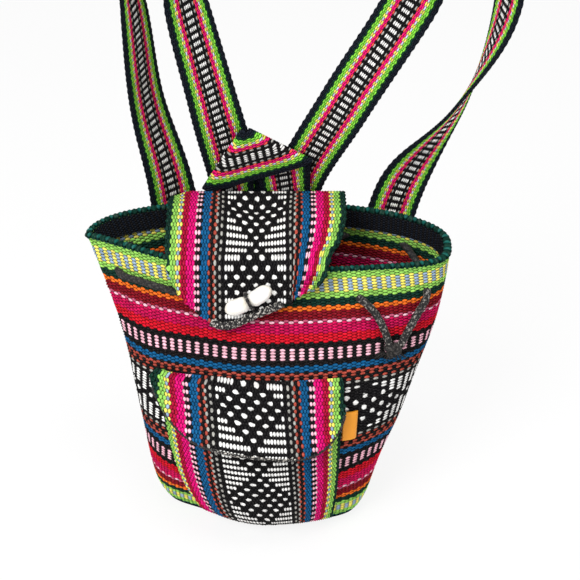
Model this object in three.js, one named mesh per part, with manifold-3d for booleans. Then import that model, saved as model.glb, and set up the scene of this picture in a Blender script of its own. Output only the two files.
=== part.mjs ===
// Mini backpack hung by its shoulder straps: a coarse woven sack with a drawstring mouth,
// a front flap with a toggle, a patch pocket with its own flap and a folded hang loop.
// Millimetres, +Z up, the front faces -Y, the origin is the middle of the base's underside.
import * as THREE from "three";
import Module from "manifold-3d";

const wasm = await Module();
wasm.setup();
const { lerp, clamp, smoothstep, degToRad } = THREE.MathUtils;

// Cloth
const SEAM_GAP = 0.4; // air between neighbouring layers
const WALL_CLOTH = 3;
const FLAP_CLOTH = 2.6; // main flap, pocket and pocket flap
const TAPE_CLOTH = 2.4;
const TAPE_WIDTH = 32; // shoulder straps and hang loop
const RIB_PITCH = 2.95; // one weft pick of the warp-faced weave
const RIB_RELIEF = 0.5;

// Sack
const MOUTH_WIDTH = 225;
const MOUTH_BACK = 46; // back rim, behind the origin
const MOUTH_FRONT = 16; // front rim, ahead of the origin
const RIM_HEIGHT = 184;
const RIM_TILT = 0.25; // rise of the rim per mm towards the back
const RIM_ROLL = 0.02; // drop of the rim per mm towards the right
const RIM_DROOP = 2.5; // how far the rim sinks at its two ends
const BASE_WIDTH = 125;
const BASE_DEPTH = 74;
const BASE_CLOTH = 3;
const BELLY = 25; // how far the front hangs out between base and rim
const WAIST = 3.2; // how far each side draws in below the rim
const BELLY_SWING = 5; // how far the middle hangs to the right
const BASE_SWING = -3.5; // and the foot to the left
const CORNER_ROUND = 0.46; // 0.5 is an ellipse, less is boxier, more is pointed
const FOOT_ROUND_LEFT = 0.85;
const MOUTH_ROUND_BACK = 0.44;
const MOUTH_ROUND_LEFT = 1.2;
const MOUTH_ROUND_RIGHT = 0.28;
const FACING_HEIGHT = 14;
const FACING_CLOTH = 1.6;

// Drawstring
const CORD_DIAMETER = 4.6;
const EYELET_GAP = 0.8; // air round the cord where it goes through the wall
const EYELET_REACH = 5.5; // how far along the wall the cord slants while it goes through
const LACE_DROP = 18.5; // below the rim
const LACE_STITCHES = [-61, -116, -153, -213, -234, -296, -320, -389]; // degrees round the wall
const KNOT_SIZE = [13, 9, 10];
const KNOT_X = 75;
const KNOT_DROP = 52; // below the rim

// Main flap
const FLAP_LEFT = -62;
const FLAP_RIGHT = 48;
const FLAP_TAIL = 24; // sewn down behind the back rim
const FLAP_CURL = 5; // how far its right edge lifts
const FLAP_ARCH = 3; // how far the flap stands above a straight line across the mouth
const FLAP_OUTLINE = [
  [-62, -14],
  [-55, 10],
  [-40, 26],
  [-26, 32.5],
  [-8, 26.5],
  [16, 15.5],
  [32, 0],
  [48, -36],
]; // x, and how far the edge hangs below the front rim there

// Pocket and its flap
const POCKET_TOP = 73; // below the front rim
const POCKET_TOP_X = -10;
const POCKET_TOP_WIDTH = 112;
const POCKET_FOOT_X = -1;
const POCKET_FOOT_WIDTH = 81;
const POCKET_FOOT_HEIGHT = 6;
const POCKET_BULGE = 11;
const POCKET_FLAP_LENGTH = 35;
const POCKET_FLAP_SLANT = 4; // how much lower it hangs at the right seam than in the middle
const POCKET_FLAP_CORNER = 32;

// Straps and hang loop
const STRAP_TOP = 396;
const STRAP_LIFT = 9; // how far the strands stand off the back wall behind the rim
const STRAP_SEAM = 22; // sewn length behind the back rim
const STRAP_LEAN = 30; // how far the strands lean forward on their way up
const LEFT_FRONT_X = [-21, -32.5, -46, -54]; // front strand: from the crest to near the top
const LEFT_BACK_X = [-83, -77, -74, -62.5, -42]; // back strand: from near the top to the rim and the foot
const RIGHT_FRONT_X = [17.5, 46.5, 82, 101];
const RIGHT_BACK_X = [136, 138, 118, 84.5, 40];
const LOOP_HEIGHT = 52; // above the flap's crest
const LOOP_POINT = 0.4; // where its point is, as a share of its width
const LOOP_SEAM = 14; // sewn length of its legs behind the back rim
const LOOP_LEG_GAP = 3;
const LOOP_X = -7;
const LOOP_LEAN = 18; // degrees that it leans forward over the flap
const LOOP_TURN = 20; // degrees that the front layer rises to the right

// Toggle and label
const TOGGLE_LENGTH = 31;
const TOGGLE_DIAMETER = 10;
const TOGGLE_WAIST = 7;
const TOGGLE_CORD = 2.2;
const TOGGLE_X = -11;
const TOGGLE_DROP = 16; // below the front rim
const TOGGLE_TURN = 27;
const LABEL_SIZE = [9, 1.8, 19];
const LABEL_DROP = 26; // below the pocket's top

const material = (color, roughness, metalness = 0) =>
  new THREE.MeshStandardMaterial({ color, roughness, metalness });
const part = new THREE.Group();

function add(name, geometry, look) {
  const mesh = new THREE.Mesh(geometry, look);
  mesh.name = name;
  part.add(mesh);
  return mesh;
}

// A closed solid between two grids of points, the first facing out; closed grids run round a ring.
function sheetSolid(outer, inner, closed) {
  const points = [];
  const faces = [];
  const number = (grid) => grid.map((row) => row.map((p) => points.push(p) - 1));
  const grids = [number(outer), number(inner)];
  grids.forEach((ids, side) => {
    for (let r = 0; r + 1 < ids.length; r++) {
      const width = ids[r].length;
      for (let c = 0; c + 1 < width + (closed ? 1 : 0); c++) {
        const n = (c + 1) % width;
        const quad = [ids[r][c], ids[r][n], ids[r + 1][n], ids[r + 1][c]];
        if (side) quad.reverse();
        faces.push(quad[0], quad[1], quad[2], quad[0], quad[2], quad[3]);
      }
    }
  });
  const share = (list, start) => list.map((id, i) => [id, start + i / list.length]);
  const ring = (ids) => {
    const last = ids.length - 1;
    if (closed) return null;
    const right = ids.map((row) => row[row.length - 1]);
    const left = ids.map((row) => row[0]).reverse();
    return [
      ...share(ids[0].slice(0, -1), 0),
      ...share(right.slice(0, -1), 1),
      ...share([...ids[last]].reverse().slice(0, -1), 2),
      ...share(left.slice(0, -1), 3),
    ];
  };
  const stitch = (a, b, span) => {
    let i = 0;
    let j = 0;
    const at = (list, k) => list[k % list.length][1] + span * Math.floor(k / list.length);
    const id = (list, k) => list[k % list.length][0];
    while (i < a.length || j < b.length) {
      if (j >= b.length || (i < a.length && at(a, i + 1) <= at(b, j + 1))) {
        faces.push(id(a, i + 1), id(a, i), id(b, j));
        i++;
      } else {
        faces.push(id(b, j), id(b, j + 1), id(a, i));
        j++;
      }
    }
  };
  if (closed) {
    const foot = grids.map((ids) => [...ids[ids.length - 1]].reverse());
    const turn = foot.map((row) => [row[row.length - 1], ...row.slice(0, -1)]);
    stitch(share(grids[0][0], 0), share(grids[1][0], 0), 1);
    stitch(share(turn[0], 0), share(turn[1], 0), 1);
  } else {
    stitch(ring(grids[0]), ring(grids[1]), 4);
  }
  let volume = 0;
  for (let k = 0; k < faces.length; k += 3) {
    const [a, b, c] = faces.slice(k, k + 3).map((f) => points[f]);
    volume += a.dot(b.clone().cross(c));
  }
  if (volume < 0) {
    for (let k = 0; k < faces.length; k += 3) [faces[k], faces[k + 1]] = [faces[k + 1], faces[k]];
  }
  const geometry = new THREE.BufferGeometry();
  const numbers = points.flatMap((p) => p.toArray());
  geometry.setAttribute("position", new THREE.Float32BufferAttribute(numbers, 3));
  geometry.setIndex(faces);
  geometry.computeVertexNormals();
  return geometry;
}

const rows = (count, make) => Array.from({ length: count + 1 }, (_, k) => make(k / count, k));

// The sack's wall
const WALL_FOOT = BASE_CLOTH + SEAM_GAP;
const WALL_RISE = RIM_HEIGHT - WALL_FOOT;
const mouthMiddle = (MOUTH_BACK - MOUTH_FRONT) / 2;

// Outer face of the wall: angle from +X round to the back, t from the base seam to the rim
function wallFace(angle, t) {
  const edge = Math.pow(t, 0.25);
  const drawn = WAIST * Math.sin(Math.PI * Math.pow(t, 0.8)) ** 2;
  const halfWidth = lerp(BASE_WIDTH, MOUTH_WIDTH, 0.28 * edge + 0.72 * t) / 2 - drawn;
  const back = lerp(BASE_DEPTH / 2, MOUTH_BACK, edge);
  const hang = Math.pow(Math.sin(Math.PI * Math.pow(t, 0.62)), 1.3);
  const front = lerp(BASE_DEPTH / 2, MOUTH_FRONT, t) + BELLY * (t > 0 && t < 1 ? hang : 0);
  const c = Math.cos(angle);
  const s = Math.sin(angle);
  const across = smoothstep(c, -1, 1);
  const frontFoot = lerp(lerp(FOOT_ROUND_LEFT, CORNER_ROUND, across), CORNER_ROUND, smoothstep(t, 0, 0.3));
  const frontMouth = lerp(MOUTH_ROUND_LEFT, MOUTH_ROUND_RIGHT, across);
  const corners = s > 0 ? [CORNER_ROUND, MOUTH_ROUND_BACK] : [frontFoot, frontMouth];
  const round = lerp(...corners, t * t);
  const swing = BELLY_SWING * Math.sin(Math.PI * Math.pow(t, 1.9)) + BASE_SWING * (1 - t) ** 2;
  const x = halfWidth * c + swing;
  const reach = Math.sign(s) * Math.pow(Math.abs(s), 2 * round);
  const y = (back - front) / 2 + ((back + front) / 2) * reach;
  const rim = RIM_TILT * (y - mouthMiddle) - RIM_ROLL * x - RIM_DROOP * c ** 4;
  const z = WALL_FOOT + WALL_RISE * t + t * t * rim;
  return new THREE.Vector3(x, y, z);
}

function wallNormal(angle, t) {
  const h = 0.02;
  const low = clamp(t - h, 0.004, 1);
  const high = clamp(t + h, 0.004, 1);
  const along = wallFace(angle + h, t).sub(wallFace(angle - h, t));
  const up = wallFace(angle, high).sub(wallFace(angle, low));
  return along.cross(up).normalize();
}

const wallPoint = (angle, t, lift) => wallFace(angle, t).addScaledVector(wallNormal(angle, t), lift);

// The same face found from x, on the front or the back
function wallAngle(x, t, side) {
  const right = wallFace(0, t).x;
  const left = wallFace(Math.PI, t).x;
  return side * Math.acos(clamp((2 * x - right - left) / (right - left), -1, 1));
}
const wallFront = (x, t, lift) => wallPoint(wallAngle(x, t, -1), t, lift);
const wallBack = (x, t, lift) => wallPoint(wallAngle(x, t, 1), t, lift);
const dropShare = (drop) => 1 - drop / WALL_RISE;

// Evenly spaced angles round one level, from the middle of the back
function evenAngles(t, count) {
  const fine = 900;
  const angles = rows(fine, (k) => Math.PI / 2 - 2 * Math.PI * k);
  const lengths = [0];
  for (let k = 1; k <= fine; k++) {
    lengths.push(lengths[k - 1] + wallFace(angles[k], t).distanceTo(wallFace(angles[k - 1], t)));
  }
  const total = lengths[fine];
  let k = 0;
  return Array.from({ length: count }, (_, i) => {
    const want = (total * i) / count;
    while (lengths[k + 1] < want) k++;
    return lerp(angles[k], angles[k + 1], (want - lengths[k]) / (lengths[k + 1] - lengths[k]));
  });
}

const ringLength = (t) => {
  const ring = rows(300, (k) => wallFace(2 * Math.PI * k, t));
  return ring.reduce((sum, p, k) => sum + (k ? p.distanceTo(ring[k - 1]) : 0), 0);
};

const wallLook = material("#7a1f33", 0.95);
const WALL_FOOT_LEVEL = 0.012;
const WALL_LEVELS = [1, dropShare(FACING_HEIGHT), 0.78, 0.6, 0.4, 0.22, 0.1, WALL_FOOT_LEVEL];
const ribCount = 2 * Math.round(ringLength(1) / RIB_PITCH / 2);
const wallOuter = WALL_LEVELS.map((t) =>
  evenAngles(t, 2 * ribCount).map((angle, i) => wallPoint(angle, t, i % 2 ? 0 : -RIB_RELIEF)),
);
const insideCount = Math.round(ringLength(1) / 8);
const wallInner = WALL_LEVELS.map((t) =>
  evenAngles(t, insideCount).map((angle) => wallPoint(angle, t, -WALL_CLOTH)),
);
const wallGeometry = sheetSolid(wallOuter, wallInner, true);

// The base, cut to the wall's foot
const footRing = evenAngles(WALL_FOOT_LEVEL, insideCount).map((angle) =>
  wallPoint(angle, WALL_FOOT_LEVEL, 0),
);
const baseShape = new THREE.Shape(footRing.map((p) => new THREE.Vector2(p.x, p.y)));
const baseDepth = Math.min(...footRing.map((p) => p.z)) - SEAM_GAP;
const baseGeometry = new THREE.ExtrudeGeometry(baseShape, { depth: baseDepth, bevelEnabled: false });
add("base_panel", baseGeometry, material("#2c2a33", 0.95));

// The facing band inside the rim
const facingLook = material("#20283f", 0.9);
const facingTop = dropShare(1.5);
const facingFoot = dropShare(FACING_HEIGHT);
const facingBand = (lift) =>
  [facingTop, facingFoot].map((t) =>
    evenAngles(t, insideCount).map((angle) => wallPoint(angle, t, lift)),
  );
const facingOutside = -WALL_CLOTH - SEAM_GAP;
const facingGeometry = sheetSolid(
  facingBand(facingOutside),
  facingBand(facingOutside - FACING_CLOTH),
  true,
);
add("rim_facing", facingGeometry, facingLook);

// The drawstring, laced in and out of the wall below the facing
const cordRadius = CORD_DIAMETER / 2;
const laceLevel = dropShare(LACE_DROP);
const laceOut = cordRadius + 2 * SEAM_GAP;
const laceIn = -WALL_CLOTH - cordRadius - 2 * SEAM_GAP;
const laceAngles = LACE_STITCHES.map(degToRad);
const lastStitch = laceAngles.length - 1;
// Angle that takes one EYELET_REACH along the wall
const eyeletTurn = (angle) =>
  (EYELET_REACH * 0.04) / wallFace(angle + 0.02, laceLevel).distanceTo(wallFace(angle - 0.02, laceLevel));
const levelPoint = (angle, lift) =>
  wallFace(angle, laceLevel).addScaledVector(wallNormal(angle, laceLevel).setZ(0).normalize(), lift);
const lacePoints = [];
laceAngles.forEach((angle, k) => {
  if (k === 0 || k === lastStitch) {
    const way = [-SEAM_GAP, -WALL_CLOTH].map((lift) => wallPoint(angle, laceLevel, lift));
    lacePoints.push(...(k ? way.reverse() : way));
  } else {
    lacePoints.push(wallPoint(angle, laceLevel, -WALL_CLOTH / 2));
  }
  if (k === lastStitch) return;
  const next = laceAngles[k + 1];
  const lift = k % 2 ? laceOut : laceIn;
  const first = angle - eyeletTurn(angle);
  const last = next + eyeletTurn(next);
  // inside a side corner the cord goes straight across
  const corner = Math.abs(Math.cos((first + last) / 2)) > 0.9;
  const count = corner && k % 2 === 0 ? 1 : Math.max(3, Math.round((first - last) / 0.2));
  lacePoints.push(...rows(count, (share) => levelPoint(lerp(first, last, share), lift)));
});

function tube(points, radius, steps, sides = 10) {
  const outline = new THREE.Shape(
    rows(sides - 1, (_, k) => {
      const a = (2 * Math.PI * k) / sides;
      return new THREE.Vector2(radius * Math.cos(a), radius * Math.sin(a));
    }),
  );
  const path = new THREE.CatmullRomCurve3(points);
  return new THREE.ExtrudeGeometry(outline, { steps, extrudePath: path, bevelEnabled: false });
}

// Joining and cutting
function toSolid(geometry) {
  const flat = geometry.index ? geometry.toNonIndexed() : geometry;
  const position = flat.getAttribute("position");
  const keys = new Map();
  const points = [];
  const corners = [];
  for (let i = 0; i < position.count; i++) {
    const p = [position.getX(i), position.getY(i), position.getZ(i)];
    const key = p.map((v) => Math.round(v * 1000)).join(" ");
    if (!keys.has(key)) {
      keys.set(key, points.length / 3);
      points.push(...p);
    }
    corners.push(keys.get(key));
  }
  const mesh = new wasm.Mesh({
    numProp: 3,
    vertProperties: new Float32Array(points),
    triVerts: new Uint32Array(corners),
  });
  return new wasm.Manifold(mesh);
}

function fromSolid(solid) {
  const mesh = solid.getMesh();
  const geometry = new THREE.BufferGeometry();
  geometry.setAttribute("position", new THREE.BufferAttribute(mesh.vertProperties, 3));
  geometry.setIndex(new THREE.BufferAttribute(mesh.triVerts, 1));
  geometry.computeVertexNormals();
  return geometry;
}

const cordLook = material("#2b2b30", 0.9);
add("drawstring_run", tube(lacePoints, cordRadius, 96, 8), cordLook);

// A slit for each place where the cord goes through
const slitHalf = EYELET_REACH + cordRadius;
const slitHeight = cordRadius + EYELET_GAP;
const slits = laceAngles.map((angle) => {
  const outline = new THREE.Shape(
    [
      [-slitHalf, 0],
      [-slitHalf + slitHeight, -slitHeight],
      [slitHalf - slitHeight, -slitHeight],
      [slitHalf, 0],
      [slitHalf - slitHeight, slitHeight],
      [-slitHalf + slitHeight, slitHeight],
    ].map((p) => new THREE.Vector2(...p)),
  );
  const depth = WALL_CLOTH + 4;
  const geometry = new THREE.ExtrudeGeometry(outline, { depth, bevelEnabled: false });
  const out = wallNormal(angle, laceLevel);
  const along = wallFace(angle + 0.02, laceLevel).sub(wallFace(angle - 0.02, laceLevel)).normalize();
  const up = new THREE.Vector3().crossVectors(out, along);
  const frame = new THREE.Matrix4().makeBasis(along, up, out);
  geometry.applyMatrix4(frame.setPosition(wallPoint(angle, laceLevel, -WALL_CLOTH - 2)));
  return toSolid(geometry);
});
const slitted = toSolid(wallGeometry).subtract(wasm.Manifold.union(slits));
add("body_panel", fromSolid(slitted), wallLook);

// The cord's free ends hang down the front to one knot
const knotLevel = dropShare(KNOT_DROP);
const knotLift = KNOT_SIZE[1] / 2 + SEAM_GAP;
const knotAt = wallFront(KNOT_X, knotLevel, knotLift);
const knotGeometry = new THREE.SphereGeometry(0.5, 12, 8);
knotGeometry.scale(...KNOT_SIZE);
knotGeometry.translate(...knotAt.toArray());
add("drawstring_knot", knotGeometry, material("#16161a", 0.95));

function freeEnd(angle, side) {
  const start = wallPoint(angle, laceLevel, SEAM_GAP);
  const out = wallPoint(angle, laceLevel, cordRadius + 3);
  const x = knotAt.x + (side * KNOT_SIZE[0]) / 4;
  const above = knotAt.z + KNOT_SIZE[2] / 2 + 2 * SEAM_GAP;
  const tail = new THREE.Vector3(x, knotAt.y, above);
  const hang = [0.35, 0.75].map((k) => {
    const level = lerp(laceLevel, knotLevel, 0.85 * k);
    const bow = lerp(out.x, x, Math.pow(k, 0.8));
    return wallFront(bow, level, cordRadius + 2);
  });
  return tube([start, out, ...hang, tail], cordRadius, 14, 8);
}
add("drawstring_left_end", freeEnd(laceAngles[0], -1), cordLook);
add("drawstring_right_end", freeEnd(laceAngles[lastStitch], 1), cordLook);

// The main flap: tail behind the back rim, over the mouth, down over the front rim
const backRim = wallFace(Math.PI / 2, 1);
const frontRim = wallFace(-Math.PI / 2, 1);
const flapReach = Math.max(...FLAP_OUTLINE.map((p) => p[1]));
const frontHang = [0.25, 0.6, 1].map((k) => {
  const p = wallFace(-Math.PI / 2, dropShare(flapReach * k));
  return new THREE.Vector3(0, p.y - SEAM_GAP - 1.4, p.z);
});
const overMouth = (k) =>
  new THREE.Vector3(
    0,
    lerp(backRim.y - WALL_CLOTH, frontRim.y + WALL_CLOTH, k),
    lerp(backRim.z, frontRim.z, k * k) + SEAM_GAP + 1.6 + FLAP_ARCH * Math.sin(Math.PI * k),
  );
const flapPath = new THREE.CatmullRomCurve3([
  new THREE.Vector3(0, backRim.y + SEAM_GAP, backRim.z - FLAP_TAIL),
  new THREE.Vector3(0, backRim.y + SEAM_GAP, backRim.z - FLAP_TAIL / 2),
  new THREE.Vector3(0, backRim.y + 2 * SEAM_GAP, backRim.z - 1),
  new THREE.Vector3(0, backRim.y - 1, backRim.z + SEAM_GAP + 1.8),
  overMouth(0.06),
  overMouth(0.35),
  overMouth(0.65),
  overMouth(0.9),
  new THREE.Vector3(0, frontRim.y - 0.4, frontRim.z + SEAM_GAP + 2.6),
  new THREE.Vector3(0, frontRim.y - SEAM_GAP - 2.2, frontRim.z - 2),
  ...frontHang,
]);
flapPath.arcLengthDivisions = 600;
const flapLength = flapPath.getLength();
const flapEdge = new THREE.SplineCurve(FLAP_OUTLINE.map((p) => new THREE.Vector2(...p)));
const flapEdgePoints = flapEdge.getPoints(80);

// Length of the flap at one x, measured from the end of its tail
function flapLengthAt(x) {
  const k = flapEdgePoints.findIndex((p) => p.x >= x);
  const b = flapEdgePoints[Math.max(k, 1)];
  const a = flapEdgePoints[Math.max(k, 1) - 1];
  return flapLength - flapReach + lerp(a.y, b.y, clamp((x - a.x) / (b.x - a.x), 0, 1));
}

function flapPoint(x, distance, lift) {
  const k = clamp(distance / flapLength, 0, 1);
  const p = flapPath.getPointAt(k);
  const along = flapPath.getTangentAt(k);
  const normal = new THREE.Vector3(0, -along.z, along.y).normalize();
  return new THREE.Vector3(x, p.y, p.z).addScaledVector(normal, lift);
}

// The right edge curls up off the rim
const flapCurl = (x, r) => FLAP_CURL * smoothstep(x, 0, FLAP_RIGHT) * smoothstep(r, 0.3, 0.9);

function flapGrid(rowCount, columns, lift) {
  return rows(rowCount, (r, k) =>
    rows(columns, (c) => {
      const x = lerp(FLAP_LEFT, FLAP_RIGHT, (1 - Math.cos(Math.PI * c)) / 2);
      return flapPoint(x, r * flapLengthAt(x), lift(k) - flapCurl(x, r));
    }),
  );
}
const flapRibs = 2 * Math.round(flapLength / RIB_PITCH);
const flapOuter = flapGrid(flapRibs, 8, (k) => -FLAP_CLOTH + (k % 2 ? 0 : RIB_RELIEF));
const flapInner = flapGrid(Math.round(flapRibs / 2), 8, () => 0);
add("main_flap", sheetSolid(flapOuter, flapInner, false), material("#b5233f", 0.95));

// The patch pocket on the front and its flap
const pocketTopLevel = dropShare(POCKET_TOP);
const pocketFootLevel = (POCKET_FOOT_HEIGHT - WALL_FOOT) / WALL_RISE;
const pocketLevel = (q) => lerp(pocketTopLevel, pocketFootLevel, q);
const pocketX = (p, q) =>
  lerp(POCKET_TOP_X, POCKET_FOOT_X, q) + (p * lerp(POCKET_TOP_WIDTH, POCKET_FOOT_WIDTH, q)) / 2;
const pocketFullness = (p, q) =>
  POCKET_BULGE * (1 - p * p) * Math.pow(Math.sin(Math.PI * (0.12 + 0.85 * q)), 0.8);
const pocketPoint = (p, q, lift) =>
  wallFront(pocketX(p, q), pocketLevel(q), SEAM_GAP + pocketFullness(p, q) + lift);
const pocketHeight = WALL_RISE * (pocketTopLevel - pocketFootLevel);
const pocketRibs = 2 * Math.round(pocketHeight / RIB_PITCH);
const pocketGrid = (rowCount, columns, lift) =>
  rows(rowCount, (q, k) => rows(columns, (c) => pocketPoint(2 * c - 1, q, lift(k))));
const pocketOuter = pocketGrid(pocketRibs, 8, (k) => FLAP_CLOTH - (k % 2 ? 0 : RIB_RELIEF));
const pocketInner = pocketGrid(12, 8, () => 0);
add("front_pocket", sheetSolid(pocketOuter, pocketInner, false), material("#8d2740", 0.95));

// Its flap starts above the pocket's mouth, on the wall, and hangs over it with rounded corners
const flapRise = 7;
const pocketFlapCorner = Math.min(POCKET_FLAP_CORNER, POCKET_FLAP_LENGTH - POCKET_FLAP_SLANT);
const pocketFlapStart = -flapRise / pocketHeight;
function pocketFlapEnd(p) {
  const side = (1 - Math.abs(p)) * (POCKET_TOP_WIDTH / 2);
  const corner = Math.max(0, 1 - side / pocketFlapCorner);
  const cut = pocketFlapCorner * (1 - Math.sqrt(1 - Math.min(1, corner) ** 2));
  return (POCKET_FLAP_LENGTH + POCKET_FLAP_SLANT * p - cut) / pocketHeight;
}
function pocketFlapPoint(p, r, lift) {
  const q = lerp(pocketFlapStart, pocketFlapEnd(p), r);
  const over = smoothstep(q, pocketFlapStart, -1.5 / pocketHeight);
  const clear = SEAM_GAP + over * (FLAP_CLOTH + SEAM_GAP + 1);
  return wallFront(pocketX(p, q), pocketLevel(q), clear + pocketFullness(p, Math.max(q, 0)) * over + lift);
}
const pocketFlapRibs = 2 * Math.round((POCKET_FLAP_LENGTH + flapRise) / RIB_PITCH);
const pocketFlapAcross = (c) => 0.995 * Math.sin((Math.PI / 2) * (2 * c - 1));
const pocketFlapGrid = (rowCount, columns, lift) =>
  rows(rowCount, (r, k) =>
    rows(columns, (c) => pocketFlapPoint(pocketFlapAcross(c), r, lift(k))),
  );
const pocketFlapOuter = pocketFlapGrid(pocketFlapRibs, 10, (k) => FLAP_CLOTH - (k % 2 ? 0 : RIB_RELIEF));
const pocketFlapInner = pocketFlapGrid(10, 10, () => 0);
add("pocket_flap", sheetSolid(pocketFlapOuter, pocketFlapInner, false), material("#a3263f", 0.95));

// A small bare label in the pocket's right seam
const labelShare = LABEL_DROP / pocketHeight;
const labelLevel = pocketLevel(labelShare);
const labelHalf = LABEL_SIZE[2] / 2 / WALL_RISE;
const labelGrid = (lift) =>
  rows(2, (r) => {
    const level = labelLevel + labelHalf * (1 - 2 * r);
    const down = labelShare + ((2 * r - 1) * LABEL_SIZE[2]) / 2 / pocketHeight;
    const seam = pocketX(1, down) + 2 * SEAM_GAP;
    return rows(3, (c) => wallFront(seam + LABEL_SIZE[0] * c, level, SEAM_GAP + lift));
  });
add("side_label", sheetSolid(labelGrid(LABEL_SIZE[1]), labelGrid(0), false), material("#e0941c", 0.8));

// Flat tape along a line, turned by an angle at each station: 0 lies across X, 90 along Y
const turned = (degrees) => new THREE.Vector3(Math.cos(degToRad(degrees)), Math.sin(degToRad(degrees)), 0);
function tape(stations, steps) {
  const line = new THREE.CatmullRomCurve3(stations.map((s) => s.at));
  const turn = new THREE.SplineCurve(stations.map((s) => new THREE.Vector2(s.turn, 0)));
  const grid = (lift) =>
    rows(steps, (k) => {
      const p = line.getPoint(k);
      const along = line.getTangent(k);
      const across = turned(turn.getPoint(k).x);
      across.addScaledVector(along, -across.dot(along)).normalize();
      const normal = new THREE.Vector3().crossVectors(across, along);
      return [-0.5, 0.5].map((side) =>
        p.clone().addScaledVector(across, side * TAPE_WIDTH).addScaledVector(normal, lift),
      );
    });
  return sheetSolid(grid(TAPE_CLOTH / 2), grid(-TAPE_CLOTH / 2), false);
}

// Layers behind the back rim: wall, flap tail, hang loop, straps
const tailBack = backRim.y + 2 * SEAM_GAP + FLAP_CLOTH + SEAM_GAP;
const strapBack = tailBack + TAPE_CLOTH + 1.5 * SEAM_GAP + TAPE_CLOTH / 2;
const at = (x, y, z) => new THREE.Vector3(x, y, z);

// Each strap: sewn behind the crest, up in front, over the rail above, down behind to the base
function strap(side, [crestX, lowX, midX, topX], [backTopX, backMidX, backLowX, rimX, footX], turns) {
  const crest = backRim.z + SEAM_GAP + FLAP_CLOTH;
  const rise = STRAP_TOP - crest;
  const footLevel = 0.1;
  const foot = wallBack(footX, footLevel, SEAM_GAP + TAPE_CLOTH / 2);
  const low = wallBack(lerp(footX, rimX, 0.22), 0.26, STRAP_LIFT / 2 + TAPE_CLOTH);
  const rimY = tailBack + STRAP_LIFT;
  const lean = strapBack - STRAP_LEAN;
  return tape(
    [
      { at: at(crestX, strapBack, crest - STRAP_SEAM), turn: 0 },
      { at: at(crestX, strapBack, crest + 2), turn: 0 },
      { at: at(lowX, lerp(lean, strapBack, 0.4), crest + 0.33 * rise), turn: turns.rising },
      { at: at(midX, lean, crest + 0.66 * rise), turn: turns.front },
      { at: at(topX, lean - 5, crest + 0.88 * rise), turn: 80 },
      { at: at((topX + backTopX) / 2, lean - 6, STRAP_TOP), turn: 90 },
      { at: at(backTopX, lean - 5, crest + 0.88 * rise), turn: 100 },
      { at: at(backMidX, lean + 2, crest + 0.66 * rise), turn: turns.middle },
      { at: at(backLowX, rimY - 8, crest + 0.3 * rise), turn: turns.low },
      { at: at(rimX, rimY, crest), turn: turns.rim },
      { at: at(lerp(footX, rimX, 0.65), rimY, 0.62 * RIM_HEIGHT), turn: side * 4 },
      { at: low, turn: side * -18 },
      { at: foot, turn: side * -24 },
    ],
    66,
  );
}
const strapLook = material("#27303c", 0.95);
const leftTurns = { rising: 24, front: 44, middle: 72, low: 58, rim: 34 };
const rightTurns = { rising: -18, front: -18, middle: 108, low: 62, rim: 8 };
const leftStrap = strap(-1, LEFT_FRONT_X, LEFT_BACK_X, leftTurns);
const rightStrap = strap(1, RIGHT_FRONT_X, RIGHT_BACK_X, rightTurns);
add("left_shoulder_strap", leftStrap, strapLook);
add("right_shoulder_strap", rightStrap, strapLook);

// The hang loop: one tape folded to a point, two legs behind and one layer across in front
const crestTop = backRim.z + SEAM_GAP + FLAP_CLOTH + 2;
const legWidth = TAPE_WIDTH;
const legLeft = LOOP_X - LOOP_LEG_GAP / 2 - legWidth;
const legRight = LOOP_X + LOOP_LEG_GAP / 2;
const legFoot = backRim.z - LOOP_SEAM;
const rise = Math.tan(degToRad(LOOP_TURN));
const frontFoot = (x) => crestTop + 1 + rise * (x - legLeft);
const apexX = legLeft + LOOP_POINT * (2 * legWidth + LOOP_LEG_GAP);
const apex = new THREE.Vector2(apexX, crestTop + LOOP_HEIGHT);
const rightEnd = legRight + legWidth;
const foldLeft = new THREE.Vector2(legLeft, frontFoot(legLeft));
const foldRight = new THREE.Vector2(rightEnd, frontFoot(rightEnd));
const onFold = (end, x) => new THREE.Vector2(x, lerp(end.y, apex.y, (x - end.x) / (apex.x - end.x)));
const plate = (corners, depth, y, frame = new THREE.Matrix4()) => {
  const shape = new THREE.Shape(corners.map((p) => new THREE.Vector2(p.x, p.y)));
  const geometry = new THREE.ExtrudeGeometry(shape, { depth, bevelEnabled: false });
  geometry.rotateX(Math.PI / 2);
  geometry.translate(0, y + depth, 0);
  geometry.applyMatrix4(frame);
  return toSolid(geometry);
};
const legY = tailBack;
const frontY = legY - SEAM_GAP - TAPE_CLOTH;
const foldDepth = TAPE_CLOTH * 2 + SEAM_GAP;
const corner = (x, y) => new THREE.Vector2(x, y);
const legTop = crestTop - 1.5;
const LEG_TAPER = 6;
const leftLeg = [
  corner(legLeft, legTop),
  corner(legLeft + legWidth, legTop),
  onFold(foldLeft, legLeft + legWidth - LEG_TAPER),
  foldLeft,
];
const rightLeg = [
  corner(legRight, legTop),
  corner(rightEnd, legTop),
  foldRight,
  onFold(foldRight, legRight + LEG_TAPER),
];
const foldBand = (end, inward) => {
  const tip = onFold(end, lerp(end.x, apex.x, 0.9));
  return [end, tip, tip.clone().add(inward), end.clone().add(inward)];
};
const lean = new THREE.Matrix4()
  .makeTranslation(0, legY, crestTop)
  .multiply(new THREE.Matrix4().makeRotationX(degToRad(LOOP_LEAN)))
  .multiply(new THREE.Matrix4().makeTranslation(0, -legY, -crestTop));
const leaning = [
  plate([foldLeft, foldRight, apex], TAPE_CLOTH, frontY, lean),
  plate(leftLeg, TAPE_CLOTH, legY, lean),
  plate(rightLeg, TAPE_CLOTH, legY, lean),
  plate(foldBand(foldLeft, corner(2, -2)).reverse(), foldDepth, frontY, lean),
  plate(foldBand(foldRight, corner(-2, -2)), foldDepth, frontY, lean),
];
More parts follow.
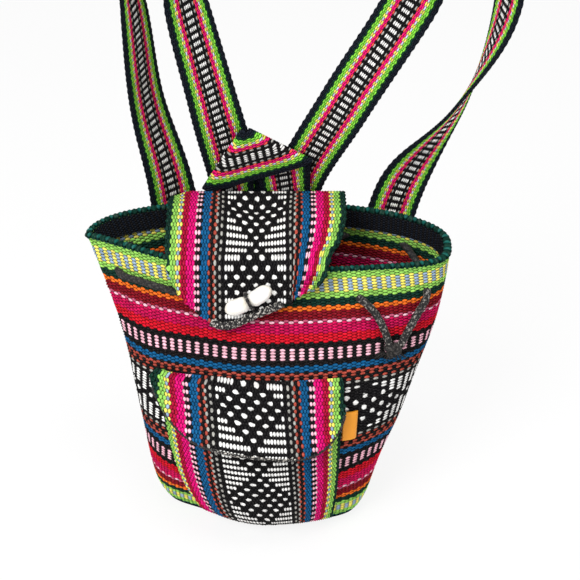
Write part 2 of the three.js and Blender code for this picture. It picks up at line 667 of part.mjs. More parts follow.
const straight = [legLeft, legRight].map((x) => {
  const far = x + legWidth;
  const outline = [corner(x, legFoot), corner(far, legFoot), corner(far, crestTop), corner(x, crestTop)];
  return plate(outline, TAPE_CLOTH, legY);
});
add("hang_loop", fromSolid(wasm.Manifold.union([...leaning, ...straight])), material("#2a3038", 0.95));

// The toggle on the flap, and the cord that holds its waist
const toggleHalf = TOGGLE_LENGTH / 2;
const toggleRadius = TOGGLE_DIAMETER / 2;
const profile = new THREE.SplineCurve([
  new THREE.Vector2(0, -toggleHalf),
  new THREE.Vector2(0.62 * toggleRadius, -0.88 * toggleHalf),
  new THREE.Vector2(toggleRadius, -0.5 * toggleHalf),
  new THREE.Vector2(TOGGLE_WAIST / 2, 0),
  new THREE.Vector2(0.92 * toggleRadius, 0.5 * toggleHalf),
  new THREE.Vector2(0.56 * toggleRadius, 0.88 * toggleHalf),
  new THREE.Vector2(0, toggleHalf),
]).getPoints(16);
profile[0].x = 0;
profile[profile.length - 1].x = 0;
const toggleLift = FLAP_CLOTH + SEAM_GAP + toggleRadius;
const toggleDistance = flapLength - flapReach + TOGGLE_DROP;
const toggleAt = flapPoint(TOGGLE_X, toggleDistance, -toggleLift);
const flapAlong = flapPath.getTangentAt(toggleDistance / flapLength);
const flapOut = flapPoint(TOGGLE_X, toggleDistance, -1).sub(flapPoint(TOGGLE_X, toggleDistance, 0));
const turnBy = degToRad(TOGGLE_TURN);
const toggleAxis = at(Math.cos(turnBy), 0, 0).addScaledVector(flapAlong, -Math.sin(turnBy));
const toggleSide = new THREE.Vector3().crossVectors(flapOut, toggleAxis).normalize();
const place = new THREE.Matrix4()
  .makeBasis(toggleSide, toggleAxis, flapOut.clone().negate())
  .setPosition(toggleAt);
const toggleGeometry = new THREE.LatheGeometry(profile, 14);
const toggleFrame = place.determinant() < 0 ? place.clone().scale(at(-1, 1, 1)) : place;
toggleGeometry.applyMatrix4(toggleFrame);
add("toggle", toggleGeometry, material("#efe9dc", 0.45));

const holdRadius = TOGGLE_WAIST / 2 + TOGGLE_CORD / 2 + SEAM_GAP;
const holdPoints = rows(10, (k) => {
  const a = lerp(degToRad(-112), degToRad(112), k);
  return toggleAt
    .clone()
    .addScaledVector(flapOut, holdRadius * Math.cos(a))
    .addScaledVector(toggleSide, 1.05 * holdRadius * Math.sin(a));
});
add("toggle_cord", tube(holdPoints, TOGGLE_CORD / 2, 14, 8), material("#1c1b20", 0.9));

export default part;
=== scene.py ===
# %% [markdown]
# # A hand-woven mini backpack
# The real bag is a sack of coarse striped cloth. A flap with a toggle covers its mouth, a patch
# pocket sits on the front, and two woven tapes carry it. Its solids are already placed and
# measured, so this lesson only dresses them: it cuts cloth, hangs it where each solid is, weaves
# the colours in its shader, and lights it.

# %% Load the frame
import math

import bpy
import numpy as np
from mathutils import Matrix, Vector


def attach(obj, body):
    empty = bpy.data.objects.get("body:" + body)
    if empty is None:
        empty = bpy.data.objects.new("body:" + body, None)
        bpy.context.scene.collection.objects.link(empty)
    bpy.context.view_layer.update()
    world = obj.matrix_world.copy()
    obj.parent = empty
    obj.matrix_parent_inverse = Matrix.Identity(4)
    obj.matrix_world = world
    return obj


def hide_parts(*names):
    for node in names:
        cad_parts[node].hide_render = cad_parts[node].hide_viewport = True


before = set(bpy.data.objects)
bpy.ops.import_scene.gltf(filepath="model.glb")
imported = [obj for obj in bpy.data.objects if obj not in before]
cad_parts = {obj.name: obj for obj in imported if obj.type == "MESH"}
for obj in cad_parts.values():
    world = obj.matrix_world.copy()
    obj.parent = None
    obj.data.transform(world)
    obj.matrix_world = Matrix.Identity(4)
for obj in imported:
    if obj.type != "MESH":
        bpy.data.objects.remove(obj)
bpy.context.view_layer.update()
MM = 0.001
bpy.ops.object.select_all(action="DESELECT")
print("nodes:", len(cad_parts))

# %% [markdown]
# ## Camera
# The bag is held straight in front of the lens, seen from about 30 degrees above. A long lens keeps
# the sides nearly parallel, as they are in a picture of a small thing taken from some way off.

# %% Place the camera
AIM = Vector((13.6, 0, 153)) * MM
DISTANCE = 850 * MM
LOOK_DOWN = math.radians(30)
FOCAL_LENGTH = 85.1

stand = DISTANCE * Vector((0, -math.cos(LOOK_DOWN), math.sin(LOOK_DOWN)))
bpy.ops.object.camera_add(location=AIM + stand, rotation=(math.pi / 2 - LOOK_DOWN, 0, 0))
camera = bpy.context.object
camera.data.lens = FOCAL_LENGTH
camera.data.dof.use_dof = False
bpy.context.scene.camera = camera
print("camera at", [round(value, 3) for value in camera.location])

# %% [markdown]
# ## Light
# Woven cloth shows its relief best under one broad lamp from the upper left, with an even pale
# sky filling the gaps. A sky alone would leave the floats flat, and a small lamp would draw hard
# shadows, so all the lamps are wide. To the camera the sky is plain white.

# %% Light the studio
SKY = 0.54
LAMPS = [  # name, place in metres, watts, width in metres
    ("key_lamp", (-0.8, -1.1, 1.3), 20.5, 0.8),
    ("fill_lamp", (1.1, -0.7, 0.75), 0.9, 0.9),
    ("top_lamp", (0.2, -0.3, 1.6), 9.0, 0.6),
]


def feed(tree, socket, value):
    """Links a node's output to a socket, or sets the socket to a plain value."""
    if isinstance(value, bpy.types.NodeSocket):
        tree.links.new(value, socket)
    else:
        socket.default_value = value


def calc(tree, operation, *values):
    """One Math node on numbers or other nodes' outputs."""
    made = tree.nodes.new("ShaderNodeMath")
    made.operation = operation
    for socket, value in zip(made.inputs, values):
        feed(tree, socket, value)
    return made.outputs[0]


def seen_directly(tree):
    """1 for rays from the camera, mirror rays and rays through glass, which all show the backdrop."""
    path = tree.nodes.new("ShaderNodeLightPath").outputs
    seen = calc(tree, "MAXIMUM", path["Is Camera Ray"], path["Is Glossy Ray"])
    return calc(tree, "MAXIMUM", seen, path["Is Transmission Ray"])


scene = bpy.context.scene
scene.view_settings.view_transform = "Standard"
scene.world = bpy.data.worlds.new("studio")
scene.world.use_nodes = True
sky = scene.world.node_tree
sky.nodes["Background"].inputs["Color"].default_value = (1, 1, 1, 1)
feed(sky, sky.nodes["Background"].inputs["Strength"],
     calc(sky, "MULTIPLY_ADD", seen_directly(sky), 1 - SKY, SKY))
for name, place, watts, width in LAMPS:
    facing = (AIM - Vector(place)).to_track_quat("-Z", "Y").to_euler()
    bpy.ops.object.light_add(type="AREA", location=place, rotation=facing)
    lamp = bpy.context.object
    lamp.name = name
    lamp.data.energy = watts
    lamp.data.size = width
print("lamps:", [lamp[0] for lamp in LAMPS])

# %% [markdown]
# ## Floor
# The bag stands on a white ground that still catches a soft shadow. A painted floor would turn
# grey away from the lamps, and a glowing one would show no shadow, so this floor mixes the two.

# %% Lay the floor
FLOOR_SIZE = 9.0
FLOOR_DROP = 0.3 * MM
FLOOR_WHITE = 0.86  # share of plain white that the camera sees
FLOOR_PAINT, FLOOR_ROUGHNESS = (0.92, 0.92, 0.92, 1), 0.9

bpy.ops.mesh.primitive_plane_add(size=FLOOR_SIZE, location=(0, 0, -FLOOR_DROP))
floor = bpy.context.object
floor.name = "studio_floor"
paint = bpy.data.materials.new("pale_floor")
paint.use_nodes = True
tree = paint.node_tree
matt = tree.nodes["Principled BSDF"]
matt.inputs["Base Color"].default_value = FLOOR_PAINT
matt.inputs["Roughness"].default_value = FLOOR_ROUGHNESS
glow = tree.nodes.new("ShaderNodeEmission")
mixed = tree.nodes.new("ShaderNodeMixShader")
feed(tree, mixed.inputs["Fac"], calc(tree, "MULTIPLY", seen_directly(tree), FLOOR_WHITE))
tree.links.new(matt.outputs["BSDF"], mixed.inputs[1])
tree.links.new(glow.outputs["Emission"], mixed.inputs[2])
tree.links.new(mixed.outputs["Shader"], tree.nodes["Material Output"].inputs["Surface"])
floor.data.materials.append(paint)
print("floor", FLOOR_SIZE, "m wide")

# %% [markdown]
# ## The sack's wall as a formula
# Every soft piece lies on the sack, so the sack's wall comes first. A point of it is an angle
# round the sack and a level from the base seam, 0, to the rim, 1. The wall could be sculpted, but
# a formula can be asked for the place and the normal of any point, so cloth that is hung on it
# fits. The solids follow nearly the same formula; here the foot's front corners are squarer.

# %% Wall of the sack
SEAM_GAP = 0.4
WALL_CLOTH = 3.0
MOUTH_WIDTH, MOUTH_BACK, MOUTH_FRONT = 225.0, 46.0, 16.0
BASE_WIDTH, BASE_DEPTH, BASE_CLOTH = 125.0, 74.0, 3.0
RIM_HEIGHT, RIM_TILT, RIM_ROLL, RIM_DROOP = 184.0, 0.25, 0.02, 2.5
BELLY, WAIST, BELLY_SWING, BASE_SWING = 25.0, 3.2, 5.0, -3.5
CORNER_ROUND, BACK_ROUND = 0.46, 0.44  # a smaller share is squarer
FOOT_LEFT_ROUND, FOOT_RIGHT_ROUND, LEFT_ROUND, RIGHT_ROUND = 0.33, 0.2, 1.2, 0.28
FOOT_REACH = 0.3  # level at which the foot's own corners end
FOOT_SKEW = 11.0  # how far the foot's front edge draws back on the left
FOOT_TUCK = 9.0  # how far the right side is drawn in above the foot
EDGE_POWER, EDGE_FLARE = 0.25, 0.28  # how soon the wall widens above the base, and by which share
WAIST_POWER, BELLY_POWER, SWING_POWER = 0.8, 0.62, 1.9  # a smaller power is lower on the wall
WALL_FOOT = BASE_CLOTH + SEAM_GAP
WALL_RISE = RIM_HEIGHT - WALL_FOOT
WALL_FOOT_LEVEL = 0.012


def between(first, second, share):
    """The value at a share of the way from the first to the second."""
    return first + (second - first) * share


def ease(value, low, high):
    """0 up to the low value, 1 from the high one on, and a soft step between."""
    share = np.clip((value - low) / (high - low), 0, 1)
    return share * share * (3 - 2 * share)


def drop_level(drop):
    """Level of a point so many millimetres below the rim."""
    return 1 - drop / WALL_RISE


def wall_face(angle, level):
    """Outer face of the wall in millimetres."""
    level = np.clip(level, 0, 1)
    edge = level**EDGE_POWER
    drawn = WAIST * np.sin(np.pi * level**WAIST_POWER) ** 2
    widening = EDGE_FLARE * edge + (1 - EDGE_FLARE) * level
    half_width = between(BASE_WIDTH, MOUTH_WIDTH, widening) / 2 - drawn
    back = between(BASE_DEPTH / 2, MOUTH_BACK, edge)
    hang = np.abs(np.sin(np.pi * level**BELLY_POWER)) ** 1.3
    front = between(BASE_DEPTH / 2, MOUTH_FRONT, level) + BELLY * hang
    cosine, sine = np.cos(angle), np.sin(angle)
    across = ease(cosine, -1, 1)
    above_foot = ease(level, 0, FOOT_REACH)
    foot = between(between(FOOT_LEFT_ROUND, FOOT_RIGHT_ROUND, across), CORNER_ROUND, above_foot)
    mouth = between(LEFT_ROUND, RIGHT_ROUND, across)
    front_round, back_round = between(foot, mouth, level**2), between(CORNER_ROUND, BACK_ROUND, level**2)
    roundness = np.where(sine > 0, back_round, front_round)
    swing = BELLY_SWING * np.sin(np.pi * level**SWING_POWER) + BASE_SWING * (1 - level) ** 2
    x = half_width * cosine + swing - FOOT_TUCK * ease(cosine, 0.3, 1) * edge * (1 - level) ** 3
    y = (back - front) / 2 + (back + front) / 2 * np.sign(sine) * np.abs(sine) ** (2 * roundness)
    y = y + FOOT_SKEW * ease(-cosine, 0, 0.8) * np.sqrt(np.maximum(-sine, 0)) * (1 - above_foot)
    rim = RIM_TILT * (y - (MOUTH_BACK - MOUTH_FRONT) / 2) - RIM_ROLL * x - RIM_DROOP * cosine**4
    z = WALL_FOOT + WALL_RISE * level + level**2 * rim
    return np.stack(np.broadcast_arrays(x, y, z), -1)


def unit(vectors):
    """The same directions with a length of 1."""
    return vectors / np.maximum(np.linalg.norm(vectors, axis=-1, keepdims=True), 1e-9)


def wall_normal(angle, level):
    """Direction out of the wall, from its slope over a small step each way."""
    step, lowest = 0.02, 0.004  # below the lowest level the wall turns under too fast
    around = wall_face(angle + step, level) - wall_face(angle - step, level)
    low, high = np.clip(level - step, lowest, 1), np.clip(level + step, lowest, 1)
    return unit(np.cross(around, wall_face(angle, high) - wall_face(angle, low)))


def wall_point(angle, level, lift):
    """Point so many millimetres out of the wall."""
    return wall_face(angle, level) + wall_normal(angle, level) * np.asarray(lift)[..., None]


def wall_front(x, level, lift, side=-1):
    """Point of the front wall at one x; the back wall for side 1."""
    right, left = wall_face(0.0, level)[..., 0], wall_face(math.pi, level)[..., 0]
    angle = side * np.arccos(np.clip((2 * x - right - left) / (right - left), -1, 1))
    return wall_point(angle, level, lift)


BACK_RIM, FRONT_RIM = wall_face(math.pi / 2, 1.0), wall_face(-math.pi / 2, 1.0)
print("rim: back", BACK_RIM.round(1), "front", FRONT_RIM.round(1))

# %% [markdown]
# ## Cutting and hanging cloth
# A tailor cuts a flat piece and pins it to a form. Here a flat unit grid is the cut piece, and a
# formula says where each of its points is pinned. A UV map named cloth also numbers the weave: U
# counts the picks along the warp and V the threads across it, so the shader can colour every
# single float, however the cloth bends. A cloth simulation would drape more freely, but it would
# pull these rows out of line.

# %% Cloth helpers
WEAVE_MAP = "cloth"
MERGE = 0.02 * MM
SMOOTH_BELOW = math.radians(75)  # sharper edges stay sharp


def choose(piece):
    """Makes one piece the only selected and the active one."""
    bpy.ops.object.select_all(action="DESELECT")
    piece.select_set(True)
    bpy.context.view_layer.objects.active = piece


def edit_all(piece, *operators):
    """Runs edit-mode operators on the whole mesh of one piece."""
    choose(piece)
    bpy.ops.object.mode_set(mode="EDIT")
    bpy.ops.mesh.select_all(action="SELECT")
    for operator, settings in operators:
        operator(**settings)
    bpy.ops.object.mode_set(mode="OBJECT")


def hang_cloth(name, columns, rows, shape):
    """A grid pinned by shape(column, row), which gives points in mm and their weave (picks, threads)."""
    bpy.ops.object.select_all(action="DESELECT")
    bpy.ops.mesh.primitive_grid_add(x_subdivisions=columns, y_subdivisions=rows, size=1)
    piece = bpy.context.object
    piece.name = piece.data.name = name
    mesh = piece.data
    flat = np.empty(3 * len(mesh.vertices))
    mesh.vertices.foreach_get("co", flat)
    flat = flat.reshape(-1, 3)
    column = np.rint((flat[:, 0] + 0.5) * columns).astype(int)
    row = np.rint((flat[:, 1] + 0.5) * rows).astype(int)
    points, weave = shape(column, row)
    mesh.vertices.foreach_set("co", (points * MM).ravel())
    corners = np.empty(len(mesh.loops), int)
    mesh.loops.foreach_get("vertex_index", corners)
    mesh.uv_layers[0].name = WEAVE_MAP
    mesh.uv_layers[0].data.foreach_set("uv", weave[corners].ravel())
    edit_all(piece, (bpy.ops.mesh.remove_doubles, {"threshold": MERGE}))
    return piece


def thicken(piece, cloth, offset=-1):
    """Gives a sheet its thickness: behind the face that is hung, or on both sides for offset 0."""
    choose(piece)
    wall = piece.modifiers.new("thickness", "SOLIDIFY")
    wall.thickness = cloth * MM
    wall.offset = offset
    bpy.ops.object.modifier_apply(modifier=wall.name)


def turn_over(piece):
    """Makes the other side of a sheet its face."""
    edit_all(piece, (bpy.ops.mesh.flip_normals, {}))


def dress(piece, finish, slot, *nodes):
    """Gives a piece its finish and its body, and hides the solids that it stands for."""
    choose(piece)
    piece.data.materials.clear()
    piece.data.materials.append(finish)
    bpy.ops.object.shade_smooth_by_angle(angle=SMOOTH_BELOW)
    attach(piece, "root")
    if nodes:
        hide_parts(*nodes)
    low, high = np.array(piece.bound_box).min(0) / MM, np.array(piece.bound_box).max(0) / MM
    print(f"{piece.name}: {len(piece.data.polygons)} faces, {low.round(1)} to {high.round(1)} mm")


print("cloth is merged at", MERGE / MM, "mm")

# %% [markdown]
# ### Lines
# Cords, tapes and hems follow lines, which a tailor would chalk on the cloth. Curve objects could
# hold them, but here the points are needed as numbers, to lay rows of a grid on them and to measure
# them. So a line is a list of points that can be smoothed, measured and walked at an even step.

# %% Line helpers


def running_length(line):
    """Length along a line of points, at each point."""
    return np.concatenate([[0], np.cumsum(np.linalg.norm(np.diff(line, axis=0), axis=1))])


def smooth_line(points, samples=40):
    """A smooth line through points, and the station that each of its points is at."""
    pins = np.asarray(points, float)
    padded = np.vstack([2 * pins[0] - pins[1], pins, 2 * pins[-1] - pins[-2]])
    share = np.linspace(0, 1, samples, endpoint=False)[:, None]
    line, station = [], []
    for k in range(len(pins) - 1):
        before, start, end, after = padded[k:k + 4]
        steps = (start - before, end - start, after - end)
        lead, span, trail = (math.sqrt(np.linalg.norm(step)) for step in steps)
        leave = ((start - before) / lead - (end - before) / (lead + span) + (end - start) / span) * span
        reach = ((end - start) / span - (after - start) / (span + trail) + (after - end) / trail) * span
        cubic = 2 * start - 2 * end + leave + reach
        square = -3 * start + 3 * end - 2 * leave - reach
        line.append(((cubic * share + square) * share + leave) * share + start)
        station.append(k + share[:, 0])
    return np.vstack(line + [pins[-1:]]), np.append(np.concatenate(station), len(pins) - 1)


def even_line(line, step):
    """The same line with points at an even step."""
    length = running_length(line)
    want = np.linspace(0, length[-1], max(2, int(round(length[-1] / step)) + 1))
    return np.column_stack([np.interp(want, length, line[:, k]) for k in range(line.shape[1])])


arch = smooth_line([(-1, 0), (0, 1), (1, 0)])[0]
print("a line through 3 points has", len(arch), "points and is", running_length(arch)[-1].round(2), "long")

# %% [markdown]
# ## The weave
# This cloth is warp-faced: only the lengthwise yarns show. Each time a yarn passes over one weft
# pick it makes a small lens-shaped float, and neighbouring picks are offset by half a yarn, like
# bricks. A bump in the shader alone would leave the cloth's outline smooth. So one height formula
# is used twice: on the mesh, which gets real beads, and in the shader, which colours each float.

# %% Floats on the mesh
FLOAT_REACH = 0.64  # half length of a float, in picks
BAND_REACH = 0.70  # half length of the band's white floats, which lie loose on top


def float_height(picks, threads):
    """Height of the woven surface, 1 on top of a float and about 0 between floats."""
    column = np.floor(picks)
    beside = picks - column - 0.5
    heights = []
    for side in (0, 1, -1):
        shifted = threads + 0.5 * np.mod(column + side, 2)
        across = shifted - np.floor(shifted) - 0.5
        heights.append(1 - ((beside - side) / FLOAT_REACH) ** 2 - (2 * across) ** 2)
    return np.maximum.reduce(heights)


print("float height on top and between:", float_height(np.array([0.5, 0.5]), np.array([0.5, 0.0])))

# %% [markdown]
# ### Finding a float in the shader
# Seen close, every float of the real cloth has its own dye and tone. An image could hold them, but
# it would have to be painted, and it would blur. A node group can do the same sums as the formula
# for the mesh: it finds the float under a point and gives its height, column, thread and chance.

# %% Floats in the shader


def new_group(name, inputs, outputs):
    """A shader node group, with its input and output sockets."""
    made = bpy.data.node_groups.new(name, "ShaderNodeTree")
    for label, kind in inputs:
        made.interface.new_socket(label, in_out="INPUT", socket_type="NodeSocket" + kind)
    for label, kind in outputs:
        made.interface.new_socket(label, in_out="OUTPUT", socket_type="NodeSocket" + kind)
    return made, made.nodes.new("NodeGroupInput").outputs, made.nodes.new("NodeGroupOutput").inputs


def choose_value(tree, share, first, second):
    """first where share is 0, second where it is 1."""
    return calc(tree, "MULTIPLY_ADD", share, calc(tree, "SUBTRACT", second, first), first)


weave, given, result = new_group(
    "woven_floats",
    [("Cloth", "Vector")],
    [(label, "Float") for label in ("Height", "Parity", "Thread", "Chance")]
    + [("Band " + label, "Float") for label in ("Bead", "Pick", "Thread", "Offset", "Across")],
)
split = weave.nodes.new("ShaderNodeSeparateXYZ")
weave.links.new(given["Cloth"], split.inputs[0])
picks, threads = split.outputs["X"], split.outputs["Y"]
column = calc(weave, "FLOOR", picks)
beside = calc(weave, "SUBTRACT", calc(weave, "SUBTRACT", picks, column), 0.5)
side = calc(weave, "SIGN", beside)


def float_nodes(number, offset, reach=FLOAT_REACH):
    """Height, parity and thread of the float in one column."""
    parity = calc(weave, "FLOORED_MODULO", number, 2.0)
    shifted = calc(weave, "MULTIPLY_ADD", parity, 0.5, threads)
    row = calc(weave, "FLOOR", shifted)
    across = calc(weave, "SUBTRACT", calc(weave, "SUBTRACT", shifted, row), 0.5)
    thread = calc(weave, "MULTIPLY_ADD", parity, -0.5, calc(weave, "ADD", row, 0.5))
    lengthwise = calc(weave, "POWER", calc(weave, "ABSOLUTE", calc(weave, "DIVIDE", offset, reach)), 2.0)
    crosswise = calc(weave, "POWER", calc(weave, "ABSOLUTE", calc(weave, "MULTIPLY", across, 2.0)), 2.0)
    height = calc(weave, "SUBTRACT", calc(weave, "SUBTRACT", 1.0, lengthwise), crosswise)
    return height, parity, thread


own = float_nodes(column, beside)
near_column = calc(weave, "ADD", column, side)
near = float_nodes(near_column, calc(weave, "SUBTRACT", beside, side))
over = calc(weave, "GREATER_THAN", near[0], own[0])
shown_column = choose_value(weave, over, column, near_column)
shown_thread = choose_value(weave, over, own[2], near[2])
chance = weave.nodes.new("ShaderNodeTexWhiteNoise")
chance.noise_dimensions = "2D"
place = weave.nodes.new("ShaderNodeCombineXYZ")
feed(weave, place.inputs["X"], calc(weave, "ADD", shown_column, 0.25))
feed(weave, place.inputs["Y"], calc(weave, "ADD", shown_thread, 0.125))
weave.links.new(place.outputs[0], chance.inputs["Vector"])
feed(weave, result["Height"], calc(weave, "MAXIMUM", own[0], near[0]))
feed(weave, result["Parity"], choose_value(weave, over, own[1], near[1]))
feed(weave, result["Thread"], shown_thread)
feed(weave, result["Chance"], chance.outputs["Value"])
band_pick = choose_value(weave, own[1], column, near_column)
band_offset = choose_value(weave, own[1], beside, calc(weave, "SUBTRACT", beside, side))
band_height, _, band_thread = float_nodes(band_pick, band_offset, BAND_REACH)
for label, value in zip(("Bead", "Pick", "Thread", "Offset", "Across"),
                        (band_height, band_pick, band_thread, band_offset, threads)):
    feed(weave, result["Band " + label], value)
print("woven_floats:", len(weave.nodes), "nodes")

# %% [markdown]
# ## The black and white band
# The middle of the sack's cloth and of the strips carries a traditional band: white bars that grow
# and shrink into open lozenges, with loose dots inside them. It could be painted as an image. But
# it repeats every ten pairs of picks, so a few sums on the column and thread numbers draw it.

# %% Lozenge band
BAND_PERIOD = 10
DOT_REACH, DOT_HALF = 0.62, 0.9  # a loose dot's half length in picks and half width in threads
BAR_HEIGHT = 0.06  # a bar's floats are white above this height

band, given, result = new_group(
    "lozenge_band",
    [(label, "Float") for label in ("Bead", "Pick", "Thread", "Offset", "Across", "Half")],
    [("White", "Float"), ("Height", "Float")],
)
pair = calc(band, "FLOORED_MODULO", calc(band, "MULTIPLY", given["Pick"], 0.5), BAND_PERIOD)
spread = calc(band, "ABSOLUTE", calc(band, "SUBTRACT", pair, BAND_PERIOD / 2))
slope = calc(band, "MULTIPLY", calc(band, "SUBTRACT", given["Half"], 1.5), 2 / BAND_PERIOD)
opening = calc(band, "MULTIPLY_ADD", spread, slope, 1.0)
off_middle = calc(band, "ABSOLUTE", given["Thread"])
bar = calc(band, "GREATER_THAN", off_middle, opening)
stagger = calc(band, "MULTIPLY_ADD", calc(band, "FLOORED_MODULO", spread, 2.0), -2.0, 3.0)
spot = calc(band, "FLOOR", calc(band, "MULTIPLY", calc(band, "ADD", given["Thread"], stagger), 0.25))
spot_middle = calc(band, "SUBTRACT", calc(band, "MULTIPLY_ADD", spot, 4.0, 1.0), stagger)
lengthwise = calc(band, "DIVIDE", given["Offset"], DOT_REACH)
crosswise = calc(band, "DIVIDE", calc(band, "SUBTRACT", given["Across"], spot_middle), DOT_HALF)
crest = calc(band, "SUBTRACT", 1.0, calc(band, "MULTIPLY", lengthwise, lengthwise))
dot_height = calc(band, "SUBTRACT", crest, calc(band, "MULTIPLY", crosswise, crosswise))
inside = calc(band, "LESS_THAN", calc(band, "ABSOLUTE", spot_middle), calc(band, "SUBTRACT", opening, 1.3))
dot = calc(band, "MULTIPLY", inside, calc(band, "GREATER_THAN", dot_height, 0.0))
white_bar = calc(band, "MULTIPLY", bar, calc(band, "GREATER_THAN", given["Bead"], BAR_HEIGHT))
white = calc(band, "MAXIMUM", dot, white_bar)
within = calc(band, "LESS_THAN", off_middle, calc(band, "SUBTRACT", given["Half"], 0.5))
feed(band, result["White"], calc(band, "MULTIPLY", white, within))
feed(band, result["Height"], choose_value(band, bar, dot_height, given["Bead"]))
print("lozenge_band:", len(band.nodes), "nodes")

# %% [markdown]
# ## Yarn finishes
# The yarn is dyed acrylic: strong colours and a dull surface. The dark gaps between the floats are
# painted shade. A finish is a list of stripes from the middle of the cloth outwards, each with the
# colour of the even and of the odd picks. An image of stripes would do too, but two stepped colour
# ramps hold the list and stay sharp, however near the camera comes.

# %% Dyes and stripes
DYES = {
    "teal": (20, 88, 80), "light_green": (146, 206, 92), "leaf_green": (130, 214, 66),
    "yellow": (238, 226, 104), "blue_grey": (146, 170, 194), "dark_green": (12, 50, 40),
    "orange": (240, 112, 34), "maroon": (130, 14, 30), "pink": (246, 186, 202),
    "magenta": (228, 14, 118), "crimson": (198, 12, 80), "wine": (172, 14, 54),
    "red": (206, 16, 38), "black": (20, 19, 21), "blue": (14, 88, 136), "coral": (172, 74, 60),
    "grey": (168, 166, 160), "white": (246, 245, 242), "navy": (18, 25, 36), "lilac": (206, 206, 230),
    # The straps' pink is the magenta made lighter with painted light, since the lamps light the straps less
    # than the sack.
    "salmon": (236, 84, 70), "lit_magenta": (240, 22, 116), "rose": (192, 84, 116),
}


def linear(colour):
    """A screen colour from 0 to 255 as the shader's linear colour."""
    share = np.array(colour) / 255
    line = np.where(share <= 0.04045, share / 12.92, ((share + 0.055) / 1.055) ** 2.4)
    return (*line.tolist(), 1.0)


def striped(*stripes):
    """Stripes as (threads, even picks, odd picks), from rows that name one or both dyes."""
    return [(count, DYES[dyes[0]], DYES[dyes[-1]]) for count, *dyes in stripes]


SACK_STRIPES = striped(
    (9, "black"), (1, "grey", "black"), (1, "coral", "black"), (1, "black"), (1, "black", "coral"),
    (1, "coral", "black"), (2.5, "blue"), (1, "black"), (4.5, "pink", "black"), (1.5, "black"),
    (3.5, "red"), (2.5, "crimson"), (1, "pink", "crimson"), (1, "maroon", "rose"), (2.5, "maroon"),
    (2, "orange"), (2, "dark_green"), (2.5, "light_green"), (4, "yellow", "blue_grey"),
    (2.5, "light_green"), (1, "teal"),
)
STRIP_STRIPES = striped(
    (11, "black"), (1, "grey", "black"), (1, "black", "grey"), (1, "coral", "black"),
    (1, "black", "coral"), (2.5, "blue"), (2, "pink", "black"), (2.5, "magenta"), (2, "wine"),
    (1.5, "yellow", "blue_grey"), (2, "light_green"), (2, "dark_green"),
)
TAPE_STRIPES = striped(
    (2, "white", "black"), (0.5, "black"), (1, "grey", "black"), (0.5, "black"),
    # the pink here is magenta with painted light
    (1, "salmon", "lit_magenta"), (1.5, "lit_magenta"), (1, "yellow", "lilac"), (2, "leaf_green"),
    (1, "dark_green"), (2.5, "navy"),
)
for title, stripes in (("sack", SACK_STRIPES), ("strip", STRIP_STRIPES), ("tape", TAPE_STRIPES)):
    print(title, "half width in threads:", sum(stripe[0] for stripe in stripes))

# %% [markdown]
# ### Tools for colour
# Dyeing needs a few small tools: a node that mixes two colours, one that moves a value to another
# range, a noise, and a stepped ramp that holds a row of stripes. All of them could be placed by hand
# in the node editor. As functions they are written once, and every finish below uses them.

# %% Colour nodes


def blend_colours(tree, share, first, second, mode="MIX"):
    """first where share is 0, second where it is 1, or another blend mode."""
    made = tree.nodes.new("ShaderNodeMix")
    made.data_type = "RGBA"
    made.blend_type = mode
    for socket, value in zip((made.inputs[0], made.inputs[6], made.inputs[7]), (share, first, second)):
        feed(tree, socket, value)
    return made.outputs[2]


def remap(tree, value, low, high, to_low, to_high):
    """Moves a value from one range to another and holds it there."""
    made = tree.nodes.new("ShaderNodeMapRange")
    for socket, entry in zip(made.inputs, (value, low, high, to_low, to_high)):
        feed(tree, socket, entry)
    return made.outputs[0]


def weave_coordinates(tree):
    """The cloth's own UV map, which counts picks and threads."""
    made = tree.nodes.new("ShaderNodeUVMap")
    made.uv_map = WEAVE_MAP
    return made.outputs["UV"]


def noise(tree, vector, scale, detail=2.0):
    """A soft noise from 0 to 1."""
    made = tree.nodes.new("ShaderNodeTexNoise")
    made.inputs["Scale"].default_value = scale
    made.inputs["Detail"].default_value = detail
    tree.links.new(vector, made.inputs["Vector"])
    return made.outputs["Fac"]


def stepped_ramp(tree, share, steps):
    """A ramp of flat colours; steps are (start from 0 to 1, colour)."""
    made = tree.nodes.new("ShaderNodeValToRGB")
    ramp = made.color_ramp
    ramp.interpolation = "CONSTANT"
    ramp.elements.remove(ramp.elements[1])
    ramp.elements[0].position, ramp.elements[0].color = steps[0]
    for start, colour in steps[1:]:
        ramp.elements.new(start).color = colour
    feed(tree, made.inputs["Fac"], share)
    return made.outputs["Color"]


def stripe_colour(tree, floats, stripes):
    """Colour of the float under each point, from its thread and its pick's parity."""
    total = sum(stripe[0] for stripe in stripes)
    share = calc(tree, "DIVIDE", calc(tree, "ABSOLUTE", floats["Thread"]), total)
    ramps = []
    for which in (1, 2):
        start, steps = 0.0, []
        for stripe in stripes:
            steps.append((start / total, linear(stripe[which])))
            start += stripe[0]
        ramps.append(stepped_ramp(tree, share, steps))
    return blend_colours(tree, floats["Parity"], *ramps)


def raise_bump(tree, shader, height, distance):
    """Lets the light see a height that the mesh doesn't have."""
    bump = tree.nodes.new("ShaderNodeBump")
    bump.inputs["Distance"].default_value = distance
    feed(tree, bump.inputs["Height"], height)
    tree.links.new(bump.outputs["Normal"], shader.inputs["Normal"])


def new_finish(name, roughness):
    """A material, its node tree and its Principled BSDF."""
    made = bpy.data.materials.new(name)
    made.use_nodes = True
    shader = made.node_tree.nodes["Principled BSDF"]
    shader.inputs["Roughness"].default_value = roughness
    return made, made.node_tree, shader


print("stripes in a half:", [len(stripes) for stripes in (SACK_STRIPES, STRIP_STRIPES, TAPE_STRIPES)])
